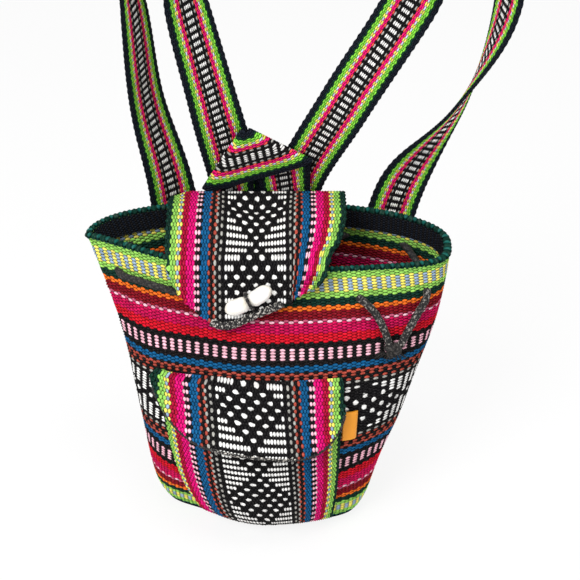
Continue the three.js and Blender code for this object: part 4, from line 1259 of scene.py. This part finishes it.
FLAP_THREAD = FLAP_HALF / sum(stripe[0] for stripe in STRIP_STRIPES)
flap_across = np.arange(-FLAP_HALF, FLAP_HALF + 0.01, FLAP_THREAD / 2)
edge_x = np.minimum(FLAP_MIDDLE + flap_across, FLAP_SIDE)
flap_stop = FLAP_FOLD + np.interp(edge_x, flap_edge[:, 0], flap_edge[:, 1])
fold_at = np.interp(FLAP_FOLD, flap_run, outer_run)
row_at = [0.0]  # place of each half pick along the outer face
while row_at[-1] < outer_run[-1]:
    past = row_at[-1] - fold_at
    spread = FLAP_SPREAD * math.exp(-(((past - SPREAD_AT) / SPREAD_REACH) ** 2))
    row_at.append(row_at[-1] + (between(FLAP_PICK, FLAP_FRONT_PICK, ease(past, -10, -5)) + spread) / 2)
row_at = np.array(row_at)


def flap_shape(column, row):
    across = flap_across[column]
    distance = np.minimum(np.interp(row_at[row], outer_run, flap_run), flap_stop[column])
    x, tucked = flap_x(across, distance - FLAP_FOLD)
    half_picks = np.interp(np.interp(distance, flap_run, outer_run), row_at, np.arange(len(row_at)))
    weave_at = np.column_stack([half_picks / 2 + FLAP_PHASE, across / FLAP_THREAD])
    tuck = TUCK_SLOPE * np.minimum(tucked, TUCK_MOST)
    lift = flap_lift(across, x, distance, flap_stop[column]) + beads(weave_at) - tuck
    return on_flap(x, distance, lift), weave_at


flap = hang_cloth("flap_cloth", len(flap_across) - 1, len(row_at) - 1, flap_shape)
thicken(flap, FLAP_CLOTH - FLOAT_ROOM)
dress(flap, strip_yarn, "strip_cloth", "main_flap")
print("flap is cut", round(2 * FLAP_HALF), "by", round(flap_stop.max()), "mm")

# %% [markdown]
# ### The flap's rolled hem
# The tongue's lower edge is rolled into a thick round hem of black yarn with white flecks. Folding
# the grid's last rows over would crush their floats, so the hem is a braided roll of its own, laid
# along the edge.

# %% Roll the flap's hem
HEM_FROM, HEM_TO, HEM_RADIUS = -34.0, 9.0, 3.0
HEM_INSET, HEM_LIFT = 0.6, 0.4
hem_x = np.linspace(HEM_FROM, HEM_TO, 30)
hem_stop = FLAP_FOLD - HEM_INSET + np.interp(hem_x, flap_edge[:, 0], flap_edge[:, 1])
hem_lift = flap_lift(hem_x - FLAP_MIDDLE, hem_x, hem_stop, hem_stop) + HEM_LIFT
hem = roll_cord("flap_rolled_hem", even_line(on_flap(hem_x, hem_stop, hem_lift), CORD_STEP), HEM_RADIUS)
dress(hem, hem_yarn, "strip_cloth")

# %% [markdown]
# ## The pocket
# The pocket is cut from the same strip as the flap. It is full at the foot, so its sheet stands off
# the wall in the middle and comes back to it at the seams. On the left its side seam slants across
# the stripes and takes the outer ones away lower down. Blowing up a flat patch would stretch all
# its floats alike, while here each row has its own place.

# %% Sew on the pocket
POCKET_TOP, POCKET_TOP_X, POCKET_TOP_WIDTH = 73.0, -10.0, 112.0
POCKET_FOOT_X, POCKET_FOOT_WIDTH, POCKET_FOOT_HEIGHT = -1.0, 81.0, 6.0
POCKET_BULGE = 11.0
POCKET_HALF = POCKET_TOP_WIDTH / 2
POCKET_CUT = 11.0  # cloth that the left seam takes away at the foot
POCKET_BOW = 4.5  # how far the left seam bows outwards
POCKET_PICK, POCKET_PHASE, POCKET_SLACK_FROM = 1.7, 2, 45.0  # the picks lie looser below this reach
pocket_top_level = drop_level(POCKET_TOP)
pocket_foot_level = (POCKET_FOOT_HEIGHT - WALL_FOOT) / WALL_RISE
POCKET_HEIGHT = WALL_RISE * (pocket_top_level - pocket_foot_level)


def pocket_x(share, down):
    """x of the pocket at a share of its half width and a share of its height."""
    width = between(POCKET_TOP_WIDTH, POCKET_FOOT_WIDTH, down)
    bow = POCKET_BOW * np.minimum(share, 0) * np.sin(np.pi * (0.15 + 0.8 * down))
    return between(POCKET_TOP_X, POCKET_FOOT_X, down) + share * width / 2 + bow


def pocket_level(down):
    """Level of the wall at a share of the pocket's height."""
    return between(pocket_top_level, pocket_foot_level, down)


def pocket_fullness(share, down):
    """How far the pocket stands off the wall."""
    swell = np.sin(np.pi * np.clip(0.12 + 0.85 * down, 0, 1))
    return POCKET_BULGE * (1 - share**2) * swell**0.8


strip_across = np.arange(-POCKET_HALF, POCKET_HALF + 0.01, THREAD / 2)
pocket_row_at = [0.0]  # place of each half pick
while pocket_row_at[-1] < POCKET_HEIGHT:
    looser = 1 + max(pocket_row_at[-1] / POCKET_SLACK_FROM - 1, 0) ** 2
    pocket_row_at.append(pocket_row_at[-1] + looser * POCKET_PICK / 2)
pocket_row_at = np.array(pocket_row_at)


def pocket_shape(column, row):
    down = np.minimum(pocket_row_at[row] / POCKET_HEIGHT, 1)
    left = POCKET_HALF - POCKET_CUT * down**1.2
    across = np.maximum(strip_across[column], -left)
    share = np.where(across < 0, across / left, across / POCKET_HALF)
    weave_at = np.column_stack([row / 2 + POCKET_PHASE, across / THREAD])
    lift = SEAM_GAP + FLAP_CLOTH + pocket_fullness(share, down) + beads(weave_at)
    return wall_front(pocket_x(share, down), pocket_level(down), lift), weave_at


pocket = hang_cloth("pocket_cloth", len(strip_across) - 1, len(pocket_row_at) - 1, pocket_shape)
turn_over(pocket)
thicken(pocket, FLAP_CLOTH - FLOAT_ROOM)
dress(pocket, strip_yarn, "strip_cloth", "front_pocket")

# %% [markdown]
# ### The pocket's flap
# A short flap with rounded corners hangs from a seam over the pocket's mouth. It could be cut from
# the pocket's own grid, but the real one lies loose and lifts at its free edge. So it is a sheet of
# its own that uses the pocket's formulas and stands off a little more. Two thin rolls finish its
# edge: a flecked one in the middle, and a dark one all round, which is partly a stitched edge and
# partly a painted shadow line under the lifted edge.

# %% Hang the pocket's flap
POCKET_FLAP_LENGTH, POCKET_FLAP_SLANT, POCKET_FLAP_RISE, POCKET_FLAP_CORNER = 35.0, 4.0, 7.0, 31.0
POCKET_FLAP_DIP = 4.5  # how much lower the top seam lies on the left
EDGE_LIFT, EDGE_REACH = 3.4, 12.0  # the free edge lifts over this reach
PICK_SLANT = 0.06  # the flap's picks slant down to the right
POCKET_FLAP_PICK, POCKET_FLAP_PHASE = 2.2, 12
CREASE_AT, CREASE_DEPTH, CREASE_WIDTH = 19.0, 1.6, 2.4
EDGE_ROLLS = [  # name, finish, radius, share of the edge
    ("hem", hem_yarn, 1.3, 0.42),
    # the dark roll is partly a stitched edge and partly a painted shadow line under the flap's edge
    ("edge", knot_yarn, 1.1, 0.985),
]
EDGE_SINK = 0.9  # how far the rolls lie behind the flap's face


def pocket_flap_start(share):
    """Where the top seam is: on the left it lies a little lower."""
    return (POCKET_FLAP_DIP * ease(-share, 0.3, 1) - POCKET_FLAP_RISE) / POCKET_HEIGHT


def pocket_flap_end(share):
    """How far down the pocket the flap reaches, with rounded corners."""
    beside = (1 - np.abs(share)) * POCKET_HALF
    corner = np.clip(1 - beside / POCKET_FLAP_CORNER, 0, 1)
    cut = POCKET_FLAP_CORNER * (1 - np.sqrt(1 - corner**2))
    return (POCKET_FLAP_LENGTH + POCKET_FLAP_SLANT * share - cut) / POCKET_HEIGHT


pocket_flap_reach = POCKET_FLAP_LENGTH + POCKET_FLAP_SLANT + POCKET_FLAP_RISE
pocket_flap_rows = int((pocket_flap_reach + 2 * PICK_SLANT * POCKET_HALF) / (POCKET_FLAP_PICK / 2)) + 1


def pocket_flap_lift(share, down):
    """How far the flap's outer face stands off the wall; its free edge lifts a little."""
    start = pocket_flap_start(share)
    over = ease(down, start, np.maximum(-1.5 / POCKET_HEIGHT, start + 3 / POCKET_HEIGHT))
    free = ease(down, pocket_flap_end(share) - EDGE_REACH / POCKET_HEIGHT, pocket_flap_end(share))
    clear = SEAM_GAP + over * (FLAP_CLOTH + SEAM_GAP + 1) + EDGE_LIFT * free
    return clear + pocket_fullness(share, np.maximum(down, 0)) * over + FLAP_CLOTH


def pocket_flap_shape(column, row):
    across = strip_across[column]
    share = 0.995 * across / POCKET_HALF
    start = pocket_flap_start(share)
    slant = PICK_SLANT * (across - POCKET_HALF)
    reach = np.maximum(row * POCKET_FLAP_PICK / 2 + slant, 0)
    down = np.minimum(start + reach / POCKET_HEIGHT, pocket_flap_end(share))
    picks = ((down - start) * POCKET_HEIGHT - slant) / POCKET_FLAP_PICK + POCKET_FLAP_PHASE
    weave_at = np.column_stack([picks, across / THREAD])
    crease = np.exp(-(((reach - slant / 2 - CREASE_AT) / CREASE_WIDTH) ** 2))
    crease = CREASE_DEPTH * crease * ease(-np.abs(share), -0.8, -0.3)
    lift = pocket_flap_lift(share, down) + beads(weave_at) - crease
    return wall_front(pocket_x(share, down), pocket_level(down), lift), weave_at


pocket_flap = hang_cloth("pocket_flap_cloth", len(strip_across) - 1, pocket_flap_rows, pocket_flap_shape)
turn_over(pocket_flap)
thicken(pocket_flap, FLAP_CLOTH - FLOAT_ROOM)
dress(pocket_flap, strip_yarn, "strip_cloth", "pocket_flap")
for name, finish, radius, reach in EDGE_ROLLS:
    edge_share = reach * np.sin(np.linspace(-math.pi / 2, math.pi / 2, 80))
    edge_down = pocket_flap_end(edge_share)
    edge_lift = pocket_flap_lift(edge_share, edge_down) - EDGE_SINK
    edge_line = wall_front(pocket_x(edge_share, edge_down), pocket_level(edge_down), edge_lift)
    dress(roll_cord(f"pocket_flap_{name}", even_line(edge_line, CORD_STEP), radius), finish, "strip_cloth")

# %% [markdown]
# ## Shoulder straps
# Each strap is one long narrow tape with both faces woven and knobbly edges. One sheet with a
# thickness would carry its beads on one face only. So the tape is a flattened tube of grid: its
# columns cross the front face, turn round the edge and come back across the other face.

# %% Weave a tape
TAPE_CLOTH, TAPE_WIDTH = 2.4, 32.0
TAPE_PICK = 2.4
TAPE_HALF = sum(stripe[0] for stripe in TAPE_STRIPES)
TAPE_RELIEF = 0.45
TAPE_KNOB, TAPE_THIN = 0.28, 0.6  # the edges' knobs in mm, and how much thinner the edges are
face_threads = np.arange(-TAPE_HALF, TAPE_HALF + 0.01, 0.5)
tape_threads = np.concatenate([face_threads, face_threads[::-1], face_threads[:1]])
tape_sides = np.concatenate([np.ones(len(face_threads)), -np.ones(len(face_threads)), [1]])


def weave_tape(name, centre, across, picks):
    """A tape with both faces woven; centre and across are given at each row in mm."""
    along = unit(np.gradient(centre, axis=0))
    outward = unit(np.cross(across, along))

    def shape(column, row):
        thread, face = tape_threads[column], tape_sides[column]
        weave_at = np.column_stack([picks[row], thread])
        edge = ease(np.abs(thread), TAPE_HALF - 1.5, TAPE_HALF)
        knob = TAPE_KNOB * edge * np.cos(np.pi * picks[row])
        bead = TAPE_RELIEF * (float_height(picks[row], thread) - 1)
        rise = (TAPE_CLOTH / 2 + bead) * (1 - TAPE_THIN * edge)
        sideways = thread / TAPE_HALF * (TAPE_WIDTH / 2 + knob)
        points = centre[row] + across[row] * sideways[:, None] + outward[row] * (face * rise)[:, None]
        return points, weave_at

    return hang_cloth(name, len(tape_threads) - 1, len(centre) - 1, shape)


def smooth_values(values, station):
    """Values given at stations, eased between them."""
    padded = np.concatenate([[2 * values[0] - values[1]], values, [2 * values[-1] - values[-2]]])
    k = np.clip(np.floor(station).astype(int), 0, len(values) - 2)
    share = station - k
    before, start, end, after = (padded[k + step] for step in range(4))
    slope, square = end - before, 2 * before - 5 * start + 4 * end - after
    cubic = 3 * start - before - 3 * end + after
    return 0.5 * (2 * start + slope * share + square * share**2 + cubic * share**3)


print("tape half width in threads:", TAPE_HALF)

# %% [markdown]
# ### Hanging the straps
# A strap leaves its seam behind the rim, goes up in front, turns on its edge at the top and comes
# down behind to the base. Its way is a list of stations with a place and a turn. A curve with a
# bevel could follow the same way, but it would not count the picks that the weave needs.

# %% Hang the straps
STRAP_TOP, STRAP_LIFT, STRAP_SEAM, STRAP_LEAN = 396.0, 9.0, 22.0, 30.0
FRONT_LOW, BACK_LOW, STRAP_MID, STRAP_HIGH = 0.33, 0.3, 0.66, 0.88  # stations, as shares of the rise
TAIL_BACK = back_y + 2 * SEAM_GAP + FLAP_CLOTH + SEAM_GAP
STRAP_BACK = TAIL_BACK + TAPE_CLOTH + 1.5 * SEAM_GAP + TAPE_CLOTH / 2
STRAPS = {  # side, front strand's x going up, back strand's x going down, turns of both
    "left": (-1, (-21, -32.5, -46, -54), (-83, -77, -74, -62.5, -42), (30, 46, 72, 58, 34)),
    "right": (1, (17.5, 46.5, 82, 101), (136, 138, 118, 84.5, 40), (-18, -18, 108, 62, 8)),
}


def strap_stations(side, front, back, turns):
    """Points and turns in degrees along one strap."""
    crest = back_z + SEAM_GAP + FLAP_CLOTH
    rise = STRAP_TOP - crest
    lean = STRAP_BACK - STRAP_LEAN
    rim_y = TAIL_BACK + STRAP_LIFT
    crest_x, low_x, mid_x, top_x = front
    back_top_x, back_mid_x, back_low_x, rim_x, foot_x = back
    rising, upper, middle, lower, rim = turns
    low = wall_front(between(foot_x, rim_x, 0.22), 0.26, STRAP_LIFT / 2 + TAPE_CLOTH, 1)
    foot = wall_front(foot_x, 0.1, SEAM_GAP + TAPE_CLOTH / 2, 1)
    return [
        ((crest_x, STRAP_BACK, crest - STRAP_SEAM), 0),
        ((crest_x, STRAP_BACK, crest + 2), 0),
        ((low_x, between(lean, STRAP_BACK, 0.4), crest + FRONT_LOW * rise), rising),
        ((mid_x, lean, crest + STRAP_MID * rise), upper),
        ((top_x, lean - 5, crest + STRAP_HIGH * rise), 80),
        (((top_x + back_top_x) / 2, lean - 6, STRAP_TOP), 90),
        ((back_top_x, lean - 5, crest + STRAP_HIGH * rise), 100),
        ((back_mid_x, lean + 2, crest + STRAP_MID * rise), middle),
        ((back_low_x, rim_y - 8, crest + BACK_LOW * rise), lower),
        ((rim_x, rim_y, crest), rim),
        ((between(foot_x, rim_x, 0.65), rim_y, 0.62 * RIM_HEIGHT), side * 4),
        (low, side * -18),
        (foot, side * -24),
    ]


for title, route in STRAPS.items():
    stations = strap_stations(*route)
    line, station = smooth_line([at for at, _ in stations], 60)
    turn = np.radians(smooth_values(np.array([turn for _, turn in stations], float), station))
    strand = even_line(np.column_stack([line, turn]), TAPE_PICK / 2)
    centre = strand[:, :3]
    along = unit(np.gradient(centre, axis=0))
    across = np.column_stack([np.cos(strand[:, 3]), np.sin(strand[:, 3]), np.zeros(len(strand))])
    across = unit(across - along * (across * along).sum(1, keepdims=True))
    strap = weave_tape(f"{title}_strap_tape", centre, across, np.arange(len(centre)) / 2)
    dress(strap, tape_yarn, "strap_tape", f"{title}_shoulder_strap")
    length = running_length(centre)[-1]
    print(title, "strap is", round(length), "mm long")

# %% [markdown]
# ## The hang loop
# A short length of the same tape is folded twice into a point: up behind, across the front, and
# down behind again. Each column of the grid follows a yarn, so the folds carry the stripes round
# with them. Bending a finished tape that sharply would crumple its inner edge.

# %% Fold the hang loop
LOOP_HEIGHT, LOOP_SEAM, LOOP_LEG_GAP, LOOP_X, LOOP_POINT = 52.0, 14.0, 3.0, -7.0, 0.4
LOOP_LEAN, LOOP_TURN = math.radians(18), math.radians(20)
crest_top = back_z + SEAM_GAP + FLAP_CLOTH + 2
leg_left = LOOP_X - LOOP_LEG_GAP / 2 - TAPE_WIDTH
right_end = LOOP_X + LOOP_LEG_GAP / 2 + TAPE_WIDTH
loop_width = right_end - leg_left
apex = np.array([leg_left + LOOP_POINT * loop_width, crest_top + LOOP_HEIGHT])
fold_left = np.array([leg_left, crest_top + 1])
fold_right = np.array([right_end, crest_top + 1 + math.tan(LOOP_TURN) * loop_width])
LEG_Y = TAIL_BACK + TAPE_CLOTH / 2
FRONT_Y = TAIL_BACK - SEAM_GAP - TAPE_CLOTH / 2
FOLD_OUT = 1.2
LEG_END, FRONT_FROM = 0.9, 0.06  # shares of the way at which a strand nears its fold


def loop_line(share):
    """One yarn's way round the loop; share is 0 at the outer edge and 1 at the point."""
    inset = share * TAPE_WIDTH
    left, right = between(fold_left, apex, share), between(fold_right, apex, share)
    start, middle, end = (between(left, right, way) for way in (FRONT_FROM, 0.5, 1 - FRONT_FROM))
    middle_y = (LEG_Y + FRONT_Y) / 2
    foot = back_z - LOOP_SEAM
    way = [
        (leg_left + inset, LEG_Y, foot),
        (leg_left + inset, LEG_Y, crest_top - 1),
        (between(leg_left + inset, left[0], LEG_END), LEG_Y, between(crest_top, left[1], LEG_END) - 0.3),
        (left[0] - FOLD_OUT, middle_y, left[1] + FOLD_OUT),
        (start[0], FRONT_Y, start[1]),
        (middle[0], FRONT_Y - 0.6, middle[1]),
        (end[0], FRONT_Y, end[1]),
        (right[0] + FOLD_OUT, middle_y, right[1] + FOLD_OUT),
        (between(right_end - inset, right[0], LEG_END), LEG_Y, between(crest_top, right[1], LEG_END) - 0.3),
        (right_end - inset, LEG_Y, crest_top - 1),
        (right_end - inset, LEG_Y, foot),
    ]
    line = smooth_line(way, 20)[0]
    over = np.maximum(line[:, 2] - crest_top, 0)
    depth = line[:, 1] - TAIL_BACK
    bent = line.copy()
    above = line[:, 2] > crest_top
    bent[above, 1] = (TAIL_BACK + depth * math.cos(LOOP_LEAN) - over * math.sin(LOOP_LEAN))[above]
    bent[above, 2] = (crest_top + depth * math.sin(LOOP_LEAN) + over * math.cos(LOOP_LEAN))[above]
    return bent


LOOP_ROWS = 150
LOOP_OPEN = 0.98  # the innermost yarn stops just short of the point
loop_lines, loop_picks = [], []
for thread in face_threads:
    share = LOOP_OPEN * (thread + TAPE_HALF) / (2 * TAPE_HALF)
    line = loop_line(share)
    length = running_length(line)
    want = np.linspace(0, length[-1], LOOP_ROWS + 1)
    loop_lines.append(np.column_stack([np.interp(want, length, line[:, k]) for k in range(3)]))
    loop_picks.append((want - length[len(line) // 2]) / TAPE_PICK)
loop_lines, loop_picks = np.array(loop_lines), np.array(loop_picks)


def loop_shape(column, row):
    weave_at = np.column_stack([loop_picks[column, row], face_threads[column]])
    return loop_lines[column, row], weave_at


loop = hang_cloth("hang_loop_tape", len(face_threads) - 1, LOOP_ROWS, loop_shape)
thicken(loop, TAPE_CLOTH - 0.4, 0)
dress(loop, tape_yarn, "strap_tape", "hang_loop")

# %% [markdown]
# ## The toggle
# The toggle is a pale two-lobed bean of polished horn or bone, held at its waist by a thin black
# cord. A lathe would turn it evenly, but a real one is cut by hand. So a ball is stretched, and then
# single rings of it are widened, narrowed or pushed aside while their neighbours follow softly.

# %% Turn the toggle
TOGGLE_LENGTH, TOGGLE_DIAMETER, TOGGLE_WAIST, TOGGLE_CORD = 31.0, 10.0, 7.0, 2.2
TOGGLE_X, TOGGLE_DROP, TOGGLE_TURN = -11.0, 16.0, math.radians(27)
TOGGLE_ROWS, TOGGLE_SIDES = 48, 40
TOGGLE_ASIDE = 0.66  # sets the bent bean's middle back on its place
TOGGLE_RINGS = [  # level in lengths, reach in mm, widening, shift in mm
    (-0.42, 9.0, 1.42, 0.0),
    (0.42, 9.0, 1.34, 0.0),
    (0.0, TOGGLE_LENGTH / 2, 1.0, -1.1),
    (0.0, 4.2, TOGGLE_WAIST / TOGGLE_DIAMETER, 0.0),
]
toggle_distance = FLAP_FOLD + TOGGLE_DROP
toggle_at = on_flap(TOGGLE_X, toggle_distance, FLAP_CLOTH + SEAM_GAP + TOGGLE_DIAMETER / 2)
toggle_out = unit(on_flap(TOGGLE_X, toggle_distance, 1.0) - on_flap(TOGGLE_X, toggle_distance, 0.0))
toggle_down = on_flap(TOGGLE_X, toggle_distance + 1, 0.0) - on_flap(TOGGLE_X, toggle_distance - 1, 0.0)
toggle_axis = np.array([math.cos(TOGGLE_TURN), 0, 0]) - math.sin(TOGGLE_TURN) * unit(toggle_down)
toggle_side = unit(np.cross(toggle_out, toggle_axis))


def press_ring(piece, level, reach, width, shift):
    """Resizes and moves the ring at one level of an upright piece, fading out over a reach in mm."""
    heights = np.array([vertex.co.z for vertex in piece.data.vertices])
    ring_height = heights[np.argmin(abs(heights - level * MM))]
    edit_all(piece, (bpy.ops.mesh.select_all, {"action": "DESELECT"}))
    for vertex, height in zip(piece.data.vertices, heights):
        vertex.select = bool(abs(height - ring_height) < MERGE)
    fade = {"use_proportional_edit": True, "proportional_edit_falloff": "SMOOTH",
            "proportional_size": reach * MM}
    bpy.ops.object.mode_set(mode="EDIT")
    bpy.ops.transform.resize(value=(width, width, 1), center_override=(0, 0, ring_height), **fade)
    bpy.ops.transform.translate(value=(shift * MM, 0, 0), **fade)
    bpy.ops.object.mode_set(mode="OBJECT")


bpy.ops.object.select_all(action="DESELECT")
bpy.ops.mesh.primitive_uv_sphere_add(
    segments=TOGGLE_SIDES, ring_count=TOGGLE_ROWS, radius=TOGGLE_DIAMETER / 2 * MM)
toggle = bpy.context.object
toggle.name = toggle.data.name = "toggle_bean"
edit_all(toggle, (bpy.ops.transform.resize, {"value": (1, 1, TOGGLE_LENGTH / TOGGLE_DIAMETER)}))
for level, reach, width, shift in TOGGLE_RINGS:
    press_ring(toggle, level * TOGGLE_LENGTH, reach, width, shift)
laid = Matrix((toggle_side, toggle_out, np.cross(toggle_side, toggle_out))).transposed()
toggle_place = Vector((toggle_at + TOGGLE_ASIDE * toggle_side) * MM)
toggle.matrix_world = Matrix.LocRotScale(toggle_place, laid.to_quaternion(), None)
bpy.ops.object.transform_apply(location=True, rotation=True, scale=True)
print("toggle is", [round(value / MM, 1) for value in toggle.dimensions], "mm as it lies")

# %% [markdown]
# ### Polished horn
# Horn is nearly white and cloudy, with a soft shine that varies over the surface. Plain white with
# one roughness would look like porcelain, so one cloudy noise drives both the tone and the shine.

# %% Polish the toggle
HORN_ROUGHNESS, HORN_COAT = 0.32, 0.15
HORN_PALE, HORN_CREAM = (248, 247, 242), (226, 218, 200)
CLOUD_SCALE, CLOUD_DETAIL = 160.0, 4.0

horn, tree, shader = new_finish("pale_horn", HORN_ROUGHNESS)
coordinates = tree.nodes.new("ShaderNodeTexCoord")
cloud = noise(tree, coordinates.outputs["Object"], CLOUD_SCALE, CLOUD_DETAIL)
cream = remap(tree, cloud, 0.4, 0.75, 0.0, 1.0)
horn_colour = blend_colours(tree, cream, linear(HORN_PALE), linear(HORN_CREAM))
feed(tree, shader.inputs["Base Color"], horn_colour)
feed(tree, shader.inputs["Roughness"], remap(tree, cloud, 0.3, 0.7, 0.26, 0.42))
shader.inputs["Coat Weight"].default_value = HORN_COAT
dress(toggle, horn, "toggle", "toggle")

# %% [markdown]
# ### The toggle's cord
# A thin black cord holds the toggle at its waist and goes back into the flap on both sides. A whole
# ring would cut through the cloth, so the cord is an arc that ends under the toggle.

# %% Tie the toggle
HOLD_TURN, HOLD_OVAL, HOLD_STEP = math.radians(112), 1.05, 0.5

hold_radius = TOGGLE_WAIST / 2 + TOGGLE_CORD / 2 + SEAM_GAP
hold_turn = np.linspace(-HOLD_TURN, HOLD_TURN, 40)
hold_line = (toggle_at + toggle_out * (hold_radius * np.cos(hold_turn))[:, None]
             + toggle_side * (HOLD_OVAL * hold_radius * np.sin(hold_turn))[:, None])
hold = roll_cord("toggle_waist_cord", even_line(hold_line, HOLD_STEP), TOGGLE_CORD / 2)
dress(hold, cord_yarn, "cord", "toggle_cord")

# %% [markdown]
# ## The label
# A bare scrap of orange ribbon is folded once and caught in the pocket's right seam. Two flat
# sheets would show no fold, so one grid goes out from the seam, turns at the fold and comes back.

# %% Fold the label
LABEL_SIZE, LABEL_DROP = (9.0, 1.8, 19.0), 26.0
LABEL_COLUMNS, LABEL_ROWS = 32, 28
LABEL_CLOTH, LABEL_BULGE = 0.6, 0.5
RIBBON_ROUGHNESS, RIBBON_GRAIN, RIBBON_BUMP = 0.55, 2.6, 0.15 * MM
RIBBON_DARK, RIBBON_LIGHT = (222, 134, 16), (246, 164, 26)
label_share = LABEL_DROP / POCKET_HEIGHT


def label_shape(column, row):
    turn, down = 2 * column / LABEL_COLUMNS, 2 * row / LABEL_ROWS - 1
    across = 1 - np.abs(1 - turn)
    level = pocket_level(label_share) - LABEL_SIZE[2] / 2 / WALL_RISE * down
    seam = pocket_x(1, label_share + down * LABEL_SIZE[2] / 2 / POCKET_HEIGHT) + 2 * SEAM_GAP
    lift = SEAM_GAP + LABEL_SIZE[1] * ease(turn, 0.8, 1.2) + LABEL_BULGE * np.sin(np.pi * across)
    points = wall_front(seam + LABEL_SIZE[0] * across, level, lift)
    return points, np.column_stack([turn * LABEL_SIZE[0], (down + 1) * LABEL_SIZE[2] / 2])


ribbon, tree, shader = new_finish("orange_ribbon", RIBBON_ROUGHNESS)
grain = noise(tree, weave_coordinates(tree), RIBBON_GRAIN)
ribbon_colour = blend_colours(tree, grain, linear(RIBBON_DARK), linear(RIBBON_LIGHT))
feed(tree, shader.inputs["Base Color"], ribbon_colour)
raise_bump(tree, shader, grain, RIBBON_BUMP)
label = hang_cloth("seam_label_ribbon", LABEL_COLUMNS, LABEL_ROWS, label_shape)
thicken(label, LABEL_CLOTH)
dress(label, ribbon, "label", "side_label")
